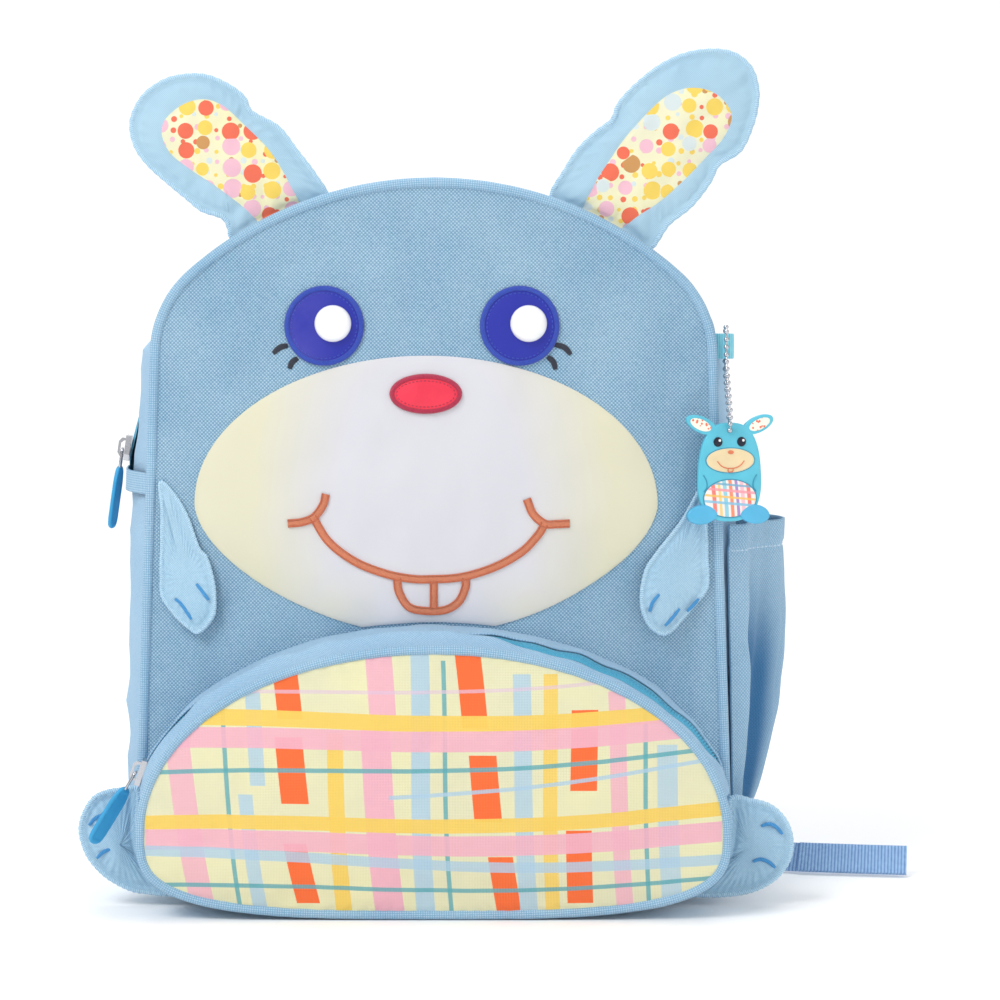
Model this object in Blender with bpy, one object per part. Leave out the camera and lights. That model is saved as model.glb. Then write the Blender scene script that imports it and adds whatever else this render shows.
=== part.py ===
"""Kids animal backpack: a soft rabbit-faced bag with a zipped front pocket, ears, arms and feet.

Metres, +Z up. The front looks along -Y, and the origin is the middle of the underside of the base.
"""

import math

import bmesh
import bpy
import numpy as np
from mathutils import Matrix, Vector
from mathutils.bvhtree import BVHTree

# Clearances and cloth
GAP = 0.0003
NEAR_MISS = 0.002
CLOTH_WALL = 0.0016
PIPING_RADIUS = 0.0024

# Body of the bag, along the seam lines that carry the piping
BAG_HEIGHT = 0.335
BAG_DEPTH = 0.100
BASE_HALF_WIDTH = 0.1355
SIDE_LEAN = 0.0077
UPPER_HALF_WIDTH = BASE_HALF_WIDTH - SIDE_LEAN
UPPER_LEVEL = 0.250
CORNER_RADIUS = 0.035
SHOULDER_RADIUS = 0.050
TOP_RADIUS = 0.168
CROSS_SEAM_LEVEL = 0.195
PIPING_LIFT = 0.0002
FRONT_BULGE = 0.013
BACK_BULGE = 0.006
ZIP_WIDTH = 0.018
ZIP_TAPE = 0.0008
ZIP_COIL_WIDTH = 0.0046
ZIP_COIL_RISE = 0.0013

# Front pocket
POCKET_DEPTH = 0.038
POCKET_HALF_WIDTH = 0.1324
POCKET_RISE = 0.0836
POCKET_LEVEL = 0.0390
POCKET_BULGE = 0.008
POCKET_PIPING_RADIUS = 0.0022
POCKET_BACK_GROWTH = 0.0085
POCKET_ZIP_WIDTH = 0.011
POCKET_ZIP_END_LEVEL = 0.052
POCKET_ZIP_PLACE = 0.0076
POCKET_SIDE_SWELL = 0.003

# Face
MUZZLE_HALF_WIDTH = 0.106
MUZZLE_RISE = 0.068
MUZZLE_DROP = 0.060
MUZZLE_LEVEL = 0.186
MUZZLE_PUFF = 0.0022
PATCH_THICKNESS = 0.0014
EYE_RADIUS = 0.0179
EYE_SPACING = 0.089
EYE_LEVEL = 0.2676
EYE_DOME_RADIUS = 0.0084
EYE_DOME_EDGE = 0.0006
EYE_DOME_HEIGHT = 0.0046
EYE_DOME_ACROSS = 0.004
EYE_DOME_UP = 0.001
EYE_PUFF = 0.0004
NOSE_HALF_WIDTH = 0.0162
NOSE_HALF_HEIGHT = 0.0088
NOSE_LEVEL = 0.2368
FACE_SHIFT = -0.0035

# Ears, arms and feet
FLAP_EDGE = 0.0018
EAR_LENGTH = 0.0935
EAR_WIDTH = 0.056
EAR_PUFF = 0.0065
EAR_SPREAD = 0.074
ARM_LENGTH = 0.067
ARM_WIDTH = 0.032
ARM_TOP_LEVEL = 0.195
ARM_PUFF = 0.0016
ARM_LIFT = 0.005
FOOT_LENGTH = 0.034
FOOT_HEIGHT = 0.046
FOOT_LEVEL = 0.028
FOOT_PUFF = 0.0034

# Side pocket on the viewer's right
SIDE_POCKET_TOP = 0.176
SIDE_POCKET_BOTTOM = 0.022
SIDE_POCKET_SWELL = 0.021
SIDE_POCKET_WALL = 0.0014

# Zip sliders and pulls
SLIDER_LENGTH = 0.012
SLIDER_WIDTH = 0.008
SLIDER_HEIGHT = 0.0026
BAIL_HEIGHT = 0.0034
BAIL_WIRE = 0.0012
PULL_BAR = 0.0013
PULL_LINK_LENGTH = 0.0085
PULL_LINK_WIDTH = 0.0056
PULL_LENGTH = 0.030
PULL_WIDTH = 0.0085
PULL_THICKNESS = 0.0024
MAIN_SLIDER_LEVEL = 0.2085
POCKET_SLIDER_LEVEL = 0.0640
POCKET_PULL_SWING = math.radians(12)
MAIN_PULL_TWIST = math.radians(25)
POCKET_PULL_TWIST = math.radians(55)

# Charm, its chain and the ribbon loop that holds them
LOOP_LEVEL = 0.258
LOOP_WIDTH = 0.0115
LOOP_REACH = 0.0105
LOOP_OPENING = 0.0040
RIBBON_THICKNESS = 0.0009
CHAIN_RADIUS = 0.0012
CHARM_HOLE_LEVEL = 0.2200
CHARM_HALF_WIDTH = 0.0155
CHARM_HALF_HEIGHT = 0.0235
CHARM_THICKNESS = 0.0028
CHARM_HOLE_RADIUS = 0.0021
CHARM_STANDOFF = 0.0095
CHARM_TURN = math.radians(12)

# Straps, webbing and handle on the back
STRAP_WIDTH = 0.046
STRAP_THICKNESS = 0.008
STRAP_LEVEL = 0.296
WEBBING_WIDTH = 0.015
WEBBING_THICKNESS = 0.0014
LOCK_WIDTH = 0.023
LOCK_BAR = 0.003
LOCK_SLOT = 0.005
TAIL_TILT = math.radians(35)
TAIL_REACH = 0.229
HANDLE_SPAN = 0.070
HANDLE_WIDTH = 0.018
HANDLE_RISE = 0.022

# How many steps the seams are drawn in
BASE_STEPS, CORNER_STEPS, SIDE_STEPS, SHOULDER_STEPS, TOP_STEPS = 3, 4, 4, 5, 6
POCKET_TOP_STEPS, POCKET_BASE_STEPS = 24, 20

# How far the gusset swells past the seams: level as a share of BAG_HEIGHT, swell as a share of BAG_DEPTH
GUSSET_SWELL = (
    (0.00, 0.060),
    (0.05, 0.060),
    (0.15, 0.085),
    (0.40, 0.120),
    (0.55, 0.150),
    (0.64, 0.145),
    (0.70, 0.090),
    (0.77, 0.055),
    (0.85, 0.030),
    (1.00, 0.008),
)

# Folds of the front panel: place as shares of BASE_HALF_WIDTH and BAG_HEIGHT, turn in degrees,
# length and width as shares of BASE_HALF_WIDTH, depth as a share of FRONT_BULGE
FRONT_FOLDS = (
    (-0.55, 0.42, -30, 0.30, 0.13, 0.28),
    (0.66, 0.37, -65, 0.28, 0.13, 0.28),
    (0.83, 0.30, 90, 0.24, 0.09, 0.20),
    (-0.80, 0.855, 45, 0.16, 0.09, 0.22),
    (0.82, 0.850, -45, 0.14, 0.09, 0.12),
)

# Ears: place along EAR_LENGTH, inner and outer edge as shares of EAR_WIDTH, fullness of EAR_PUFF
LEFT_EAR_ROWS = (
    (0.00, 0.44, -0.39, 0.35),
    (0.13, 0.455, -0.345, 0.70),
    (0.27, 0.47, -0.43, 0.95),
    (0.40, 0.44, -0.475, 1.00),
    (0.48, 0.385, -0.495, 0.85),
    (0.57, 0.41, -0.52, 1.00),
    (0.66, 0.375, -0.52, 1.00),
    (0.75, 0.295, -0.48, 0.90),
    (0.825, 0.17, -0.385, 0.70),
    (0.87, 0.01, -0.23, 0.40),
)
RIGHT_EAR_ROWS = (
    (0.00, 0.44, -0.445, 0.35),
    (0.15, 0.46, -0.48, 0.75),
    (0.29, 0.435, -0.545, 0.95),
    (0.42, 0.375, -0.555, 0.85),
    (0.53, 0.40, -0.54, 0.95),
    (0.64, 0.375, -0.625, 1.00),
    (0.75, 0.31, -0.615, 1.00),
    (0.88, 0.205, -0.57, 0.85),
    (0.965, 0.08, -0.475, 0.60),
    (1.015, -0.06, -0.34, 0.35),
)

# Arms: place down ARM_LENGTH, edge by the seam and free edge as shares of ARM_WIDTH
LEFT_ARM_ROWS = (
    (0.00, 0.00, 0.06),
    (0.08, 0.00, 0.20),
    (0.22, 0.00, 0.40),
    (0.43, 0.00, 0.55),
    (0.52, 0.00, 0.67),
    (0.65, 0.00, 0.76),
    (0.79, 0.05, 0.80),
    (0.90, 0.24, 0.77),
    (0.96, 0.38, 0.71),
    (1.00, 0.52, 0.62),
)
RIGHT_ARM_ROWS = (
    (0.00, 0.00, 0.08),
    (0.10, 0.00, 0.22),
    (0.24, 0.00, 0.40),
    (0.38, 0.00, 0.63),
    (0.48, 0.00, 0.80),
    (0.60, 0.00, 0.93),
    (0.78, 0.10, 1.00),
    (0.90, 0.36, 0.94),
    (0.97, 0.50, 0.83),
    (1.01, 0.60, 0.72),
)

# Feet: place along FOOT_LENGTH, lower and upper edge as shares of FOOT_HEIGHT
FOOT_ROWS = (
    (0.00, -0.50, 0.47),
    (0.25, -0.49, 0.49),
    (0.50, -0.42, 0.46),
    (0.72, -0.30, 0.38),
    (0.90, -0.13, 0.22),
    (1.00, -0.01, 0.06),
)

# Side pocket across its depth: place as a share of BAG_DEPTH, stand-off as a share of SIDE_POCKET_SWELL
SIDE_POCKET_FOLDS = (
    (0.05, 0.02),
    (0.10, 0.42),
    (0.18, 0.26),
    (0.28, 0.55),
    (0.42, 0.95),
    (0.60, 1.00),
    (0.76, 0.72),
    (0.90, 0.36),
    (0.95, 0.02),
)

# Side pocket up its height: place from bottom to top, share of the full swell
SIDE_POCKET_ROWS = (
    (0.00, 0.04),
    (0.14, 0.38),
    (0.33, 0.78),
    (0.55, 1.00),
    (0.78, 1.02),
    (1.00, 0.92),
)

# Shoulder strap from its top to the ladder lock: distance out from the bag's middle as a share of
# BASE_HALF_WIDTH, stand-off behind the back seam as a share of BAG_DEPTH, level as a share of BAG_HEIGHT,
# and width as a share of STRAP_WIDTH
STRAP_ROWS = (
    (0.285, 0.205, 0.860, 0.90),
    (0.345, 0.310, 0.800, 1.00),
    (0.440, 0.360, 0.680, 1.00),
    (0.530, 0.350, 0.520, 1.00),
    (0.600, 0.300, 0.380, 0.82),
    (0.632, 0.255, 0.312, 0.56),
)

# Free ends of the webbing from the ladder lock: place as a share of the way out from the lock to
# TAIL_REACH, stand-off behind the back seam as a share of BAG_DEPTH, and level as a share of the
# lock's own level over the lying band
RIGHT_TAIL_ROWS = (
    (0.03, 0.35, 0.54),
    (0.10, 0.37, 0.21),
    (0.27, 0.26, 0.02),
    (0.45, -0.04, 0.00),
    (0.60, -0.20, 0.00),
    (0.80, -0.27, 0.00),
    (1.00, -0.32, 0.00),
)
LEFT_TAIL_ROWS = (
    (0.01, 0.33, 0.56),
    (0.02, 0.35, 0.36),
)


def srgb(red, green, blue):
    """A linear colour from the 0 to 255 values of a screen."""
    return tuple((value / 255) ** 2.2 for value in (red, green, blue))


def make_material(name, colour, roughness, metallic=0.0):
    material = bpy.data.materials.new(name)
    material.use_nodes = True
    shader = material.node_tree.nodes["Principled BSDF"]
    shader.inputs["Base Color"].default_value = (*srgb(*colour), 1.0)
    shader.inputs["Roughness"].default_value = roughness
    shader.inputs["Metallic"].default_value = metallic
    return material


def add_mesh(name, points, faces, material, sharp=35):
    """One object from points and faces, its normals turned outwards and its round parts shaded smooth."""
    mesh = bpy.data.meshes.new(name)
    mesh.from_pydata([tuple(point) for point in points], [], faces)
    shape = bmesh.new()
    shape.from_mesh(mesh)
    bmesh.ops.recalc_face_normals(shape, faces=shape.faces)
    shape.to_mesh(mesh)
    shape.free()
    mesh.shade_smooth()
    mesh.set_sharp_from_angle(angle=math.radians(sharp))
    mesh.materials.append(material)
    obj = bpy.data.objects.new(name, mesh)
    bpy.context.scene.collection.objects.link(obj)
    return obj


def grid_faces(rows, columns, start, wrap):
    """Quads of a grid whose points are numbered row by row from start."""
    faces = []
    for row in range(rows - 1):
        for column in range(columns if wrap else columns - 1):
            after = (column + 1) % columns
            a = start + row * columns
            b = a + columns
            faces.append((a + column, a + after, b + after, b + column))
    return faces


def sheet(name, front, back, material):
    """A closed slab between two open grids of points, joined round their border."""
    rows, columns, _ = front.shape
    half = rows * columns
    faces = grid_faces(rows, columns, 0, False)
    faces += [face[::-1] for face in grid_faces(rows, columns, half, False)]
    border = [column for column in range(columns)]
    border += [row * columns + columns - 1 for row in range(1, rows)]
    border += [(rows - 1) * columns + column for column in range(columns - 2, -1, -1)]
    border += [row * columns for row in range(rows - 2, 0, -1)]
    for here, there in zip(border, border[1:] + border[:1]):
        faces.append((here, there, there + half, here + half))
    points = np.concatenate([front.reshape(-1, 3), back.reshape(-1, 3)])
    return add_mesh(name, points, faces, material)


def disc(name, front, front_middle, back, back_middle, material):
    """A closed slab between two stacks of rings, each closed by a middle point, joined at the first rings."""
    rows, columns, _ = front.shape
    half = rows * columns
    back_rows = back.shape[0]
    faces = grid_faces(rows, columns, 0, True)
    faces += grid_faces(back_rows, columns, half, True)
    points = [*front.reshape(-1, 3), *back.reshape(-1, 3), front_middle, back_middle]
    front_index = half + back_rows * columns
    for column in range(columns):
        after = (column + 1) % columns
        last = half - columns
        faces.append((last + column, last + after, front_index))
        last = half + (back_rows - 1) * columns
        faces.append((last + column, last + after, front_index + 1))
        faces.append((column, after, half + after, half + column))
    return add_mesh(name, points, faces, material)


def sweep(name, sections, material, closed=False, sharp=35):
    """A solid through a row of sections with the same number of points, capped unless it is a loop.

    The quads of a section's second half start one corner on, so both faces of a twisted band split alike.
    """
    count, corners, _ = sections.shape
    faces = grid_faces(count, corners, 0, True)
    for index, face in enumerate(faces):
        if index % corners >= corners / 2:
            faces[index] = face[1:] + face[:1]
    if closed:
        last = (count - 1) * corners
        for corner in range(corners):
            after = (corner + 1) % corners
            faces.append((last + corner, last + after, after, corner))
    else:
        faces.append(tuple(range(corners)))
        faces.append(tuple(range((count - 1) * corners, count * corners)))
    return add_mesh(name, sections.reshape(-1, 3), faces, material, sharp)


def smooth_path(points, steps):
    """A Catmull-Rom curve through the points, with a number of steps between each two."""
    points = np.array(points, float)
    padded = np.concatenate([[2 * points[0] - points[1]], points, [2 * points[-1] - points[-2]]])
    found = []
    for a, b, c, d in zip(padded, padded[1:], padded[2:], padded[3:]):
        for t in np.arange(steps) / steps:
            pull = (c - a) * t + (2 * a - 5 * b + 4 * c - d) * t**2
            found.append(b + 0.5 * (pull + (3 * b - a - 3 * c + d) * t**3))
    found.append(points[-1])
    return np.array(found)


def unit(vectors):
    return vectors / np.linalg.norm(vectors, axis=-1, keepdims=True)


def ribbon(name, path, across, widths, thickness, material, rounded=False):
    """A flat band along a path, its width lying as near to the across directions as the path lets it."""
    tangents = unit(np.gradient(path, axis=0))
    normals = unit(np.cross(tangents, np.broadcast_to(across, path.shape)))
    sides = np.cross(normals, tangents)
    half = np.broadcast_to(widths, len(path))[:, None, None] / 2
    if rounded:
        corners = [(1, 0.25), (0.84, 0.5), (-0.84, 0.5), (-1, 0.25)]
        corners += [(-x, -y) for x, y in corners]
    else:
        corners = [(1, 0.5), (-1, 0.5), (-1, -0.5), (1, -0.5)]
    corners = np.array(corners)
    out = corners[None, :, 1:] * thickness * normals[:, None, :]
    sections = path[:, None, :] + corners[None, :, :1] * half * sides[:, None, :] + out
    return sweep(name, sections, material)


def tree_of(obj):
    mesh = obj.data
    points = [vertex.co.copy() for vertex in mesh.vertices]
    return BVHTree.FromPolygons(points, [tuple(face.vertices) for face in mesh.polygons])


def hit(tree, origin, direction):
    """Where a ray from the origin first meets the surface.

    A ray that passes just beside the surface is moved sideways, a little at a time, up to NEAR_MISS.
    """
    for slip in np.linspace(0, NEAR_MISS, 9):
        for aside in ((0, slip, 0), (0, -slip, 0), (0, 0, slip), (0, 0, -slip), (slip, 0, 0), (-slip, 0, 0)):
            found = tree.ray_cast(Vector(origin) + Vector(aside), Vector(direction))[0]
            if found is not None:
                return found
    return None


def samples(mesh):
    """The vertices and the middles of the edges of a mesh."""
    places = np.array([vertex.co[:] for vertex in mesh.vertices])
    edges = np.array([edge.vertices[:] for edge in mesh.edges])
    return np.concatenate([places, places[edges].mean(axis=1)])


def settle(piece, target, direction, gap=GAP):
    """Slides a piece along a direction until its least distance to the target that way is the gap.

    It returns the slide.
    """
    reach = 0.05
    direction = Vector(direction)
    under, over = tree_of(target), tree_of(piece)
    spaces = []
    for point in map(Vector, samples(piece.data)):
        found = under.ray_cast(point - direction * reach, direction)[0]
        if found:
            spaces.append((found - point).dot(direction))
    for point in map(Vector, samples(target.data)):
        found = over.ray_cast(point + direction * reach, -direction)[0]
        if found:
            spaces.append((point - found).dot(direction))
    slide = Matrix.Translation(direction * (min(spaces) - gap))
    piece.data.transform(slide)
    return slide


def seam_outline():
    """The seam line: points and outward normals, anticlockwise from the middle of the base.

    The right half is a flat base, a corner arc, a leaning side, a shoulder arc and the top arc, each
    tangent to the next, and the left half mirrors it. The cross seams of the gusset fall on a point.
    """
    bottom = PIPING_LIFT + PIPING_RADIUS
    top = BAG_HEIGHT - PIPING_RADIUS
    low = np.array([BASE_HALF_WIDTH, bottom + CORNER_RADIUS])
    rise = np.array([UPPER_HALF_WIDTH, UPPER_LEVEL]) - low
    lean = math.atan2(-rise[0], rise[1])
    normal = np.array([math.cos(lean), math.sin(lean)])
    along = np.array([-normal[1], normal[0]])
    corner = np.array([low[0] - CORNER_RADIUS / normal[0], low[1]])
    arch = np.array([0, top - TOP_RADIUS])
    start = low - normal * SHOULDER_RADIUS - arch
    reach = start @ along
    room = reach**2 - start @ start + (TOP_RADIUS - SHOULDER_RADIUS) ** 2
    shoulder = arch + start + along * (math.sqrt(max(room, 0)) - reach)
    turn = math.atan2(*(shoulder - arch)[::-1])

    def arc(centre, radius, begin, end, steps):
        angles = np.linspace(begin, end, steps + 1)
        directions = np.stack([np.cos(angles), np.sin(angles)], axis=1)
        return centre + radius * directions, directions

    base = np.stack([np.linspace(0, corner[0], BASE_STEPS + 1), np.full(BASE_STEPS + 1, bottom)], axis=1)
    first, first_normals = arc(corner, CORNER_RADIUS, -math.pi / 2, lean, CORNER_STEPS)
    second, second_normals = arc(shoulder, SHOULDER_RADIUS, lean, turn, SHOULDER_STEPS)
    third, third_normals = arc(arch, TOP_RADIUS, turn, math.pi / 2, TOP_STEPS)
    seam = (CROSS_SEAM_LEVEL - first[-1, 1]) / (second[0, 1] - first[-1, 1])
    shares = np.concatenate([np.linspace(0, seam, SIDE_STEPS + 1)[1:], [(1 + seam) / 2]])
    side = first[-1] + np.outer(shares, second[0] - first[-1])
    points = np.concatenate([base[:-1], first, side, second, third[1:]])
    normals = np.concatenate(
        [
            np.tile([0.0, -1.0], (BASE_STEPS, 1)),
            first_normals,
            np.tile(normal, (len(side), 1)),
            second_normals,
            third_normals[1:],
        ]
    )
    mirror = np.array([-1, 1])
    left = slice(-2, 0, -1)
    return (
        np.concatenate([points, points[left] * mirror]),
        np.concatenate([normals, normals[left] * mirror]),
    )


FRONT = -BAG_DEPTH / 2
BACK = BAG_DEPTH / 2
POCKET_FRONT = FRONT - POCKET_DEPTH
SEAM, SEAM_NORMALS = seam_outline()
CROSS_INDEX = BASE_STEPS + CORNER_STEPS + SIDE_STEPS
PANEL_MIDDLE = np.array([0.0, 0.46 * BAG_HEIGHT])
PANEL_RIM = SEAM - SEAM_NORMALS * (PIPING_RADIUS + GAP)
PANEL_ANGLES = np.arctan2(*(PANEL_RIM - PANEL_MIDDLE).T[::-1])
PANEL_REACH = np.linalg.norm(PANEL_RIM - PANEL_MIDDLE, axis=1)
PANEL_RINGS = (1.0, 0.93, 0.78, 0.55, 0.30)


def panel_share(points):
    """How far points lie from the middle of the panel, as a share of the way to its rim."""
    away = points - PANEL_MIDDLE
    angles = np.arctan2(away[..., 1], away[..., 0])
    reach = np.interp(angles, *np.array(sorted(zip(PANEL_ANGLES, PANEL_REACH))).T, period=2 * math.pi)
    return np.linalg.norm(away, axis=-1) / reach


def front_depth(points):
    """How far the front panel stands forward of its seam: a dome less the folds, which fade at the rim."""
    share = np.minimum(panel_share(points), 1)
    depth = FRONT_BULGE * (1 - share**2.4)
    for across, level, turn, length, width, deep in FRONT_FOLDS:
        away = points - np.array([across * BASE_HALF_WIDTH, level * BAG_HEIGHT])
        cos, sin = math.cos(math.radians(turn)), math.sin(math.radians(turn))
        along = (away[..., 0] * cos + away[..., 1] * sin) / (length * BASE_HALF_WIDTH)
        beside = (away[..., 1] * cos - away[..., 0] * sin) / (width * BASE_HALF_WIDTH)
        depth -= deep * FRONT_BULGE * np.exp(-(along**2) - beside**2) * (1 - share**6)
    return depth


def at_depth(points, depth):
    """Points of the XZ plane placed at one or many values of Y."""
    return np.stack([points[..., 0], np.broadcast_to(depth, points.shape[:-1]), points[..., 1]], axis=-1)


def rings(rim, middle, shares):
    return middle + np.array(shares)[:, None, None] * (rim - middle)


def make_panels(cloth, padding):
    flat = rings(PANEL_RIM, PANEL_MIDDLE, PANEL_RINGS)
    face = FRONT - CLOTH_WALL / 2 - front_depth(flat)
    middle_face = FRONT - CLOTH_WALL / 2 - front_depth(PANEL_MIDDLE)
    front = disc(
        "front_panel",
        at_depth(flat, face),
        at_depth(PANEL_MIDDLE, middle_face),
        at_depth(flat, face + CLOTH_WALL),
        at_depth(PANEL_MIDDLE, middle_face + CLOTH_WALL),
        cloth,
    )
    flat = rings(PANEL_RIM, PANEL_MIDDLE, (1.0, 0.85, 0.5))
    face = BACK + CLOTH_WALL / 2 + BACK_BULGE * (1 - panel_share(flat) ** 3)
    middle_face = BACK + CLOTH_WALL / 2 + BACK_BULGE
    back = disc(
        "back_panel",
        at_depth(flat, face),
        at_depth(PANEL_MIDDLE, middle_face),
        at_depth(flat, face - CLOTH_WALL),
        at_depth(PANEL_MIDDLE, middle_face - CLOTH_WALL),
        padding,
    )
    return front, back


def make_piping(name, points, radius, material):
    """A round cord sewn into a seam, as a closed curve."""
    curve = bpy.data.curves.new(name, "CURVE")
    curve.dimensions = "3D"
    curve.bevel_depth = radius
    curve.bevel_resolution = 1
    spline = curve.splines.new("POLY")
    spline.points.add(len(points) - 1)
    for point, place in zip(spline.points, points):
        point.co = (*place, 1)
    spline.use_cyclic_u = True
    curve.materials.append(material)
    obj = bpy.data.objects.new(name, curve)
    bpy.context.scene.collection.objects.link(obj)
    return obj


def gusset_sections(stations, profile):
    """Sections of a part of the gusset, from pairs of distance behind the front seam and depth under it."""
    behind, under = np.array(profile).T
    place, normal = SEAM[stations], SEAM_NORMALS[stations]
    levels, swells = np.array(GUSSET_SWELL).T
    swell = BAG_DEPTH * np.interp(place[:, 1] / BAG_HEIGHT, levels, swells)
    crown = 1 - np.abs(2 * behind / BAG_DEPTH - 1) ** 2.2
    outer = place[:, None, :] + normal[:, None, :] * (swell[:, None] * crown)[..., None]
    outer[..., 1] = np.maximum(outer[..., 1], 0)
    flat = outer - normal[:, None, :] * under[None, :, None]
    return at_depth(flat, FRONT + behind[None, :])


def part_ends(sections, space):
    """Moves the first and last section inwards along the run, which leaves half the space at each end."""
    for end, inner in ((0, 1), (-1, -2)):
        run = unit((sections[inner] - sections[end]).mean(axis=0))
        sections[end] += run * space / 2
    return sections


def wall_profile(places, wall):
    """A strip of cloth: outer face through the places, and back along its inner face."""
    return [(place, 0) for place in places] + [(place, wall) for place in places[::-1]]


def make_gusset(cloth, tape):
    edge = PIPING_RADIUS + GAP
    half_zip = ZIP_WIDTH / 2
    middle = BAG_DEPTH / 2
    count = len(SEAM)
    upper = np.arange(CROSS_INDEX, count - CROSS_INDEX + 1)
    lower = np.arange(count - CROSS_INDEX, count + CROSS_INDEX + 1) % count
    front_places = [edge, (edge + middle) / 2, middle - half_zip - GAP]
    for name, places in (
        ("gusset_front_strip", front_places),
        ("gusset_back_strip", [BAG_DEPTH - place for place in front_places[::-1]]),
    ):
        sections = gusset_sections(upper, wall_profile(places, CLOTH_WALL))
        sweep(name, part_ends(sections, GAP), cloth)
    half_coil = ZIP_COIL_WIDTH / 2
    sunk = CLOTH_WALL / 2
    profile = [
        (middle - half_zip, sunk),
        (middle - half_coil, sunk),
        (middle - half_coil * 0.7, sunk - ZIP_COIL_RISE),
        (middle + half_coil * 0.7, sunk - ZIP_COIL_RISE),
        (middle + half_coil, sunk),
        (middle + half_zip, sunk),
        (middle + half_zip, sunk + ZIP_TAPE),
        (middle - half_zip, sunk + ZIP_TAPE),
    ]
    sweep("main_zip", part_ends(gusset_sections(upper, profile), GAP), tape)
    places = [edge, edge + 0.06 * BAG_DEPTH, 0.27 * BAG_DEPTH, middle]
    places += [BAG_DEPTH - place for place in places[2::-1]]
    sections = gusset_sections(lower, wall_profile(places, CLOTH_WALL))
    sweep("gusset_base", part_ends(sections, GAP), cloth)


def rounded(angles, half_width, rise, drop, upper_power, lower_power):
    """A closed outline of two half superellipses that share their width: one above, one below."""
    cos, sin = np.cos(angles), np.sin(angles)
    power = 2 / np.where(sin >= 0, upper_power, lower_power)
    height = np.where(sin >= 0, rise, drop)
    across = half_width * np.sign(cos) * np.abs(cos) ** power
    return np.stack([across, height * np.sign(sin) * np.abs(sin) ** power], axis=-1)


def outline_normals(points):
    """Outward normals of an anticlockwise closed outline."""
    run = unit(np.roll(points, -1, axis=0) - np.roll(points, 1, axis=0))
    return np.stack([run[:, 1], -run[:, 0]], axis=1)


def pocket_outline():
    """Seam line of the pocket's front, and the line where its sides meet the front panel."""
    drop = POCKET_LEVEL - PIPING_LIFT - POCKET_PIPING_RADIUS
    ends = math.asin((POCKET_ZIP_END_LEVEL - POCKET_LEVEL) / POCKET_RISE)
    angles = np.concatenate(
        [
            np.linspace(ends, math.pi - ends, POCKET_TOP_STEPS + 1),
            np.linspace(math.pi - ends, 2 * math.pi + ends, POCKET_BASE_STEPS + 1)[1:-1],
        ]
    )
    level = np.array([0, POCKET_LEVEL])
    front = level + rounded(angles, POCKET_HALF_WIDTH, POCKET_RISE, drop, 2.05, 3.3)
    wide = POCKET_HALF_WIDTH + POCKET_BACK_GROWTH / 2
    back = level + rounded(angles, wide, POCKET_RISE + POCKET_BACK_GROWTH, drop, 2.05, 3.3)
    share = panel_share(back)[:, None]
    back = PANEL_MIDDLE + (back - PANEL_MIDDLE) * np.minimum(1, 0.975 / share)
    return front, back


POCKET_SEAM, POCKET_BACK = pocket_outline()
POCKET_NORMALS = outline_normals(POCKET_SEAM)


def pocket_sections(stations, profile, front_tree):
    """Sections of a part of the pocket's wall, from pairs of share of the way back and depth under it."""
    share, under = np.array(profile).T
    start, end = POCKET_SEAM[stations], POCKET_BACK[stations]
    normal = POCKET_NORMALS[stations]
    beside = [end, (3 * end + np.roll(POCKET_BACK, -1, axis=0)[stations]) / 4]
    beside += [(end + np.roll(POCKET_BACK, step, axis=0)[stations]) / 2 for step in (-1, 1)]
    rear = [[hit(front_tree, (x, POCKET_FRONT, z), (0, 1, 0)).y for x, z in places] for places in beside]
    rear = np.min(rear, axis=0) - 2 * GAP
    flat = start[:, None, :] + share[None, :, None] * (end - start)[:, None, :]
    swell = POCKET_SIDE_SWELL * (1 - (2 * share - 1) ** 2)
    flat = flat + normal[:, None, :] * swell[None, :, None]
    flat[..., 1] = np.maximum(flat[..., 1], PIPING_LIFT)
    flat = flat - normal[:, None, :] * under[None, :, None]
    begin = POCKET_FRONT + POCKET_PIPING_RADIUS + GAP
    return at_depth(flat, begin + share[None, :] * (rear[:, None] - begin))


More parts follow.
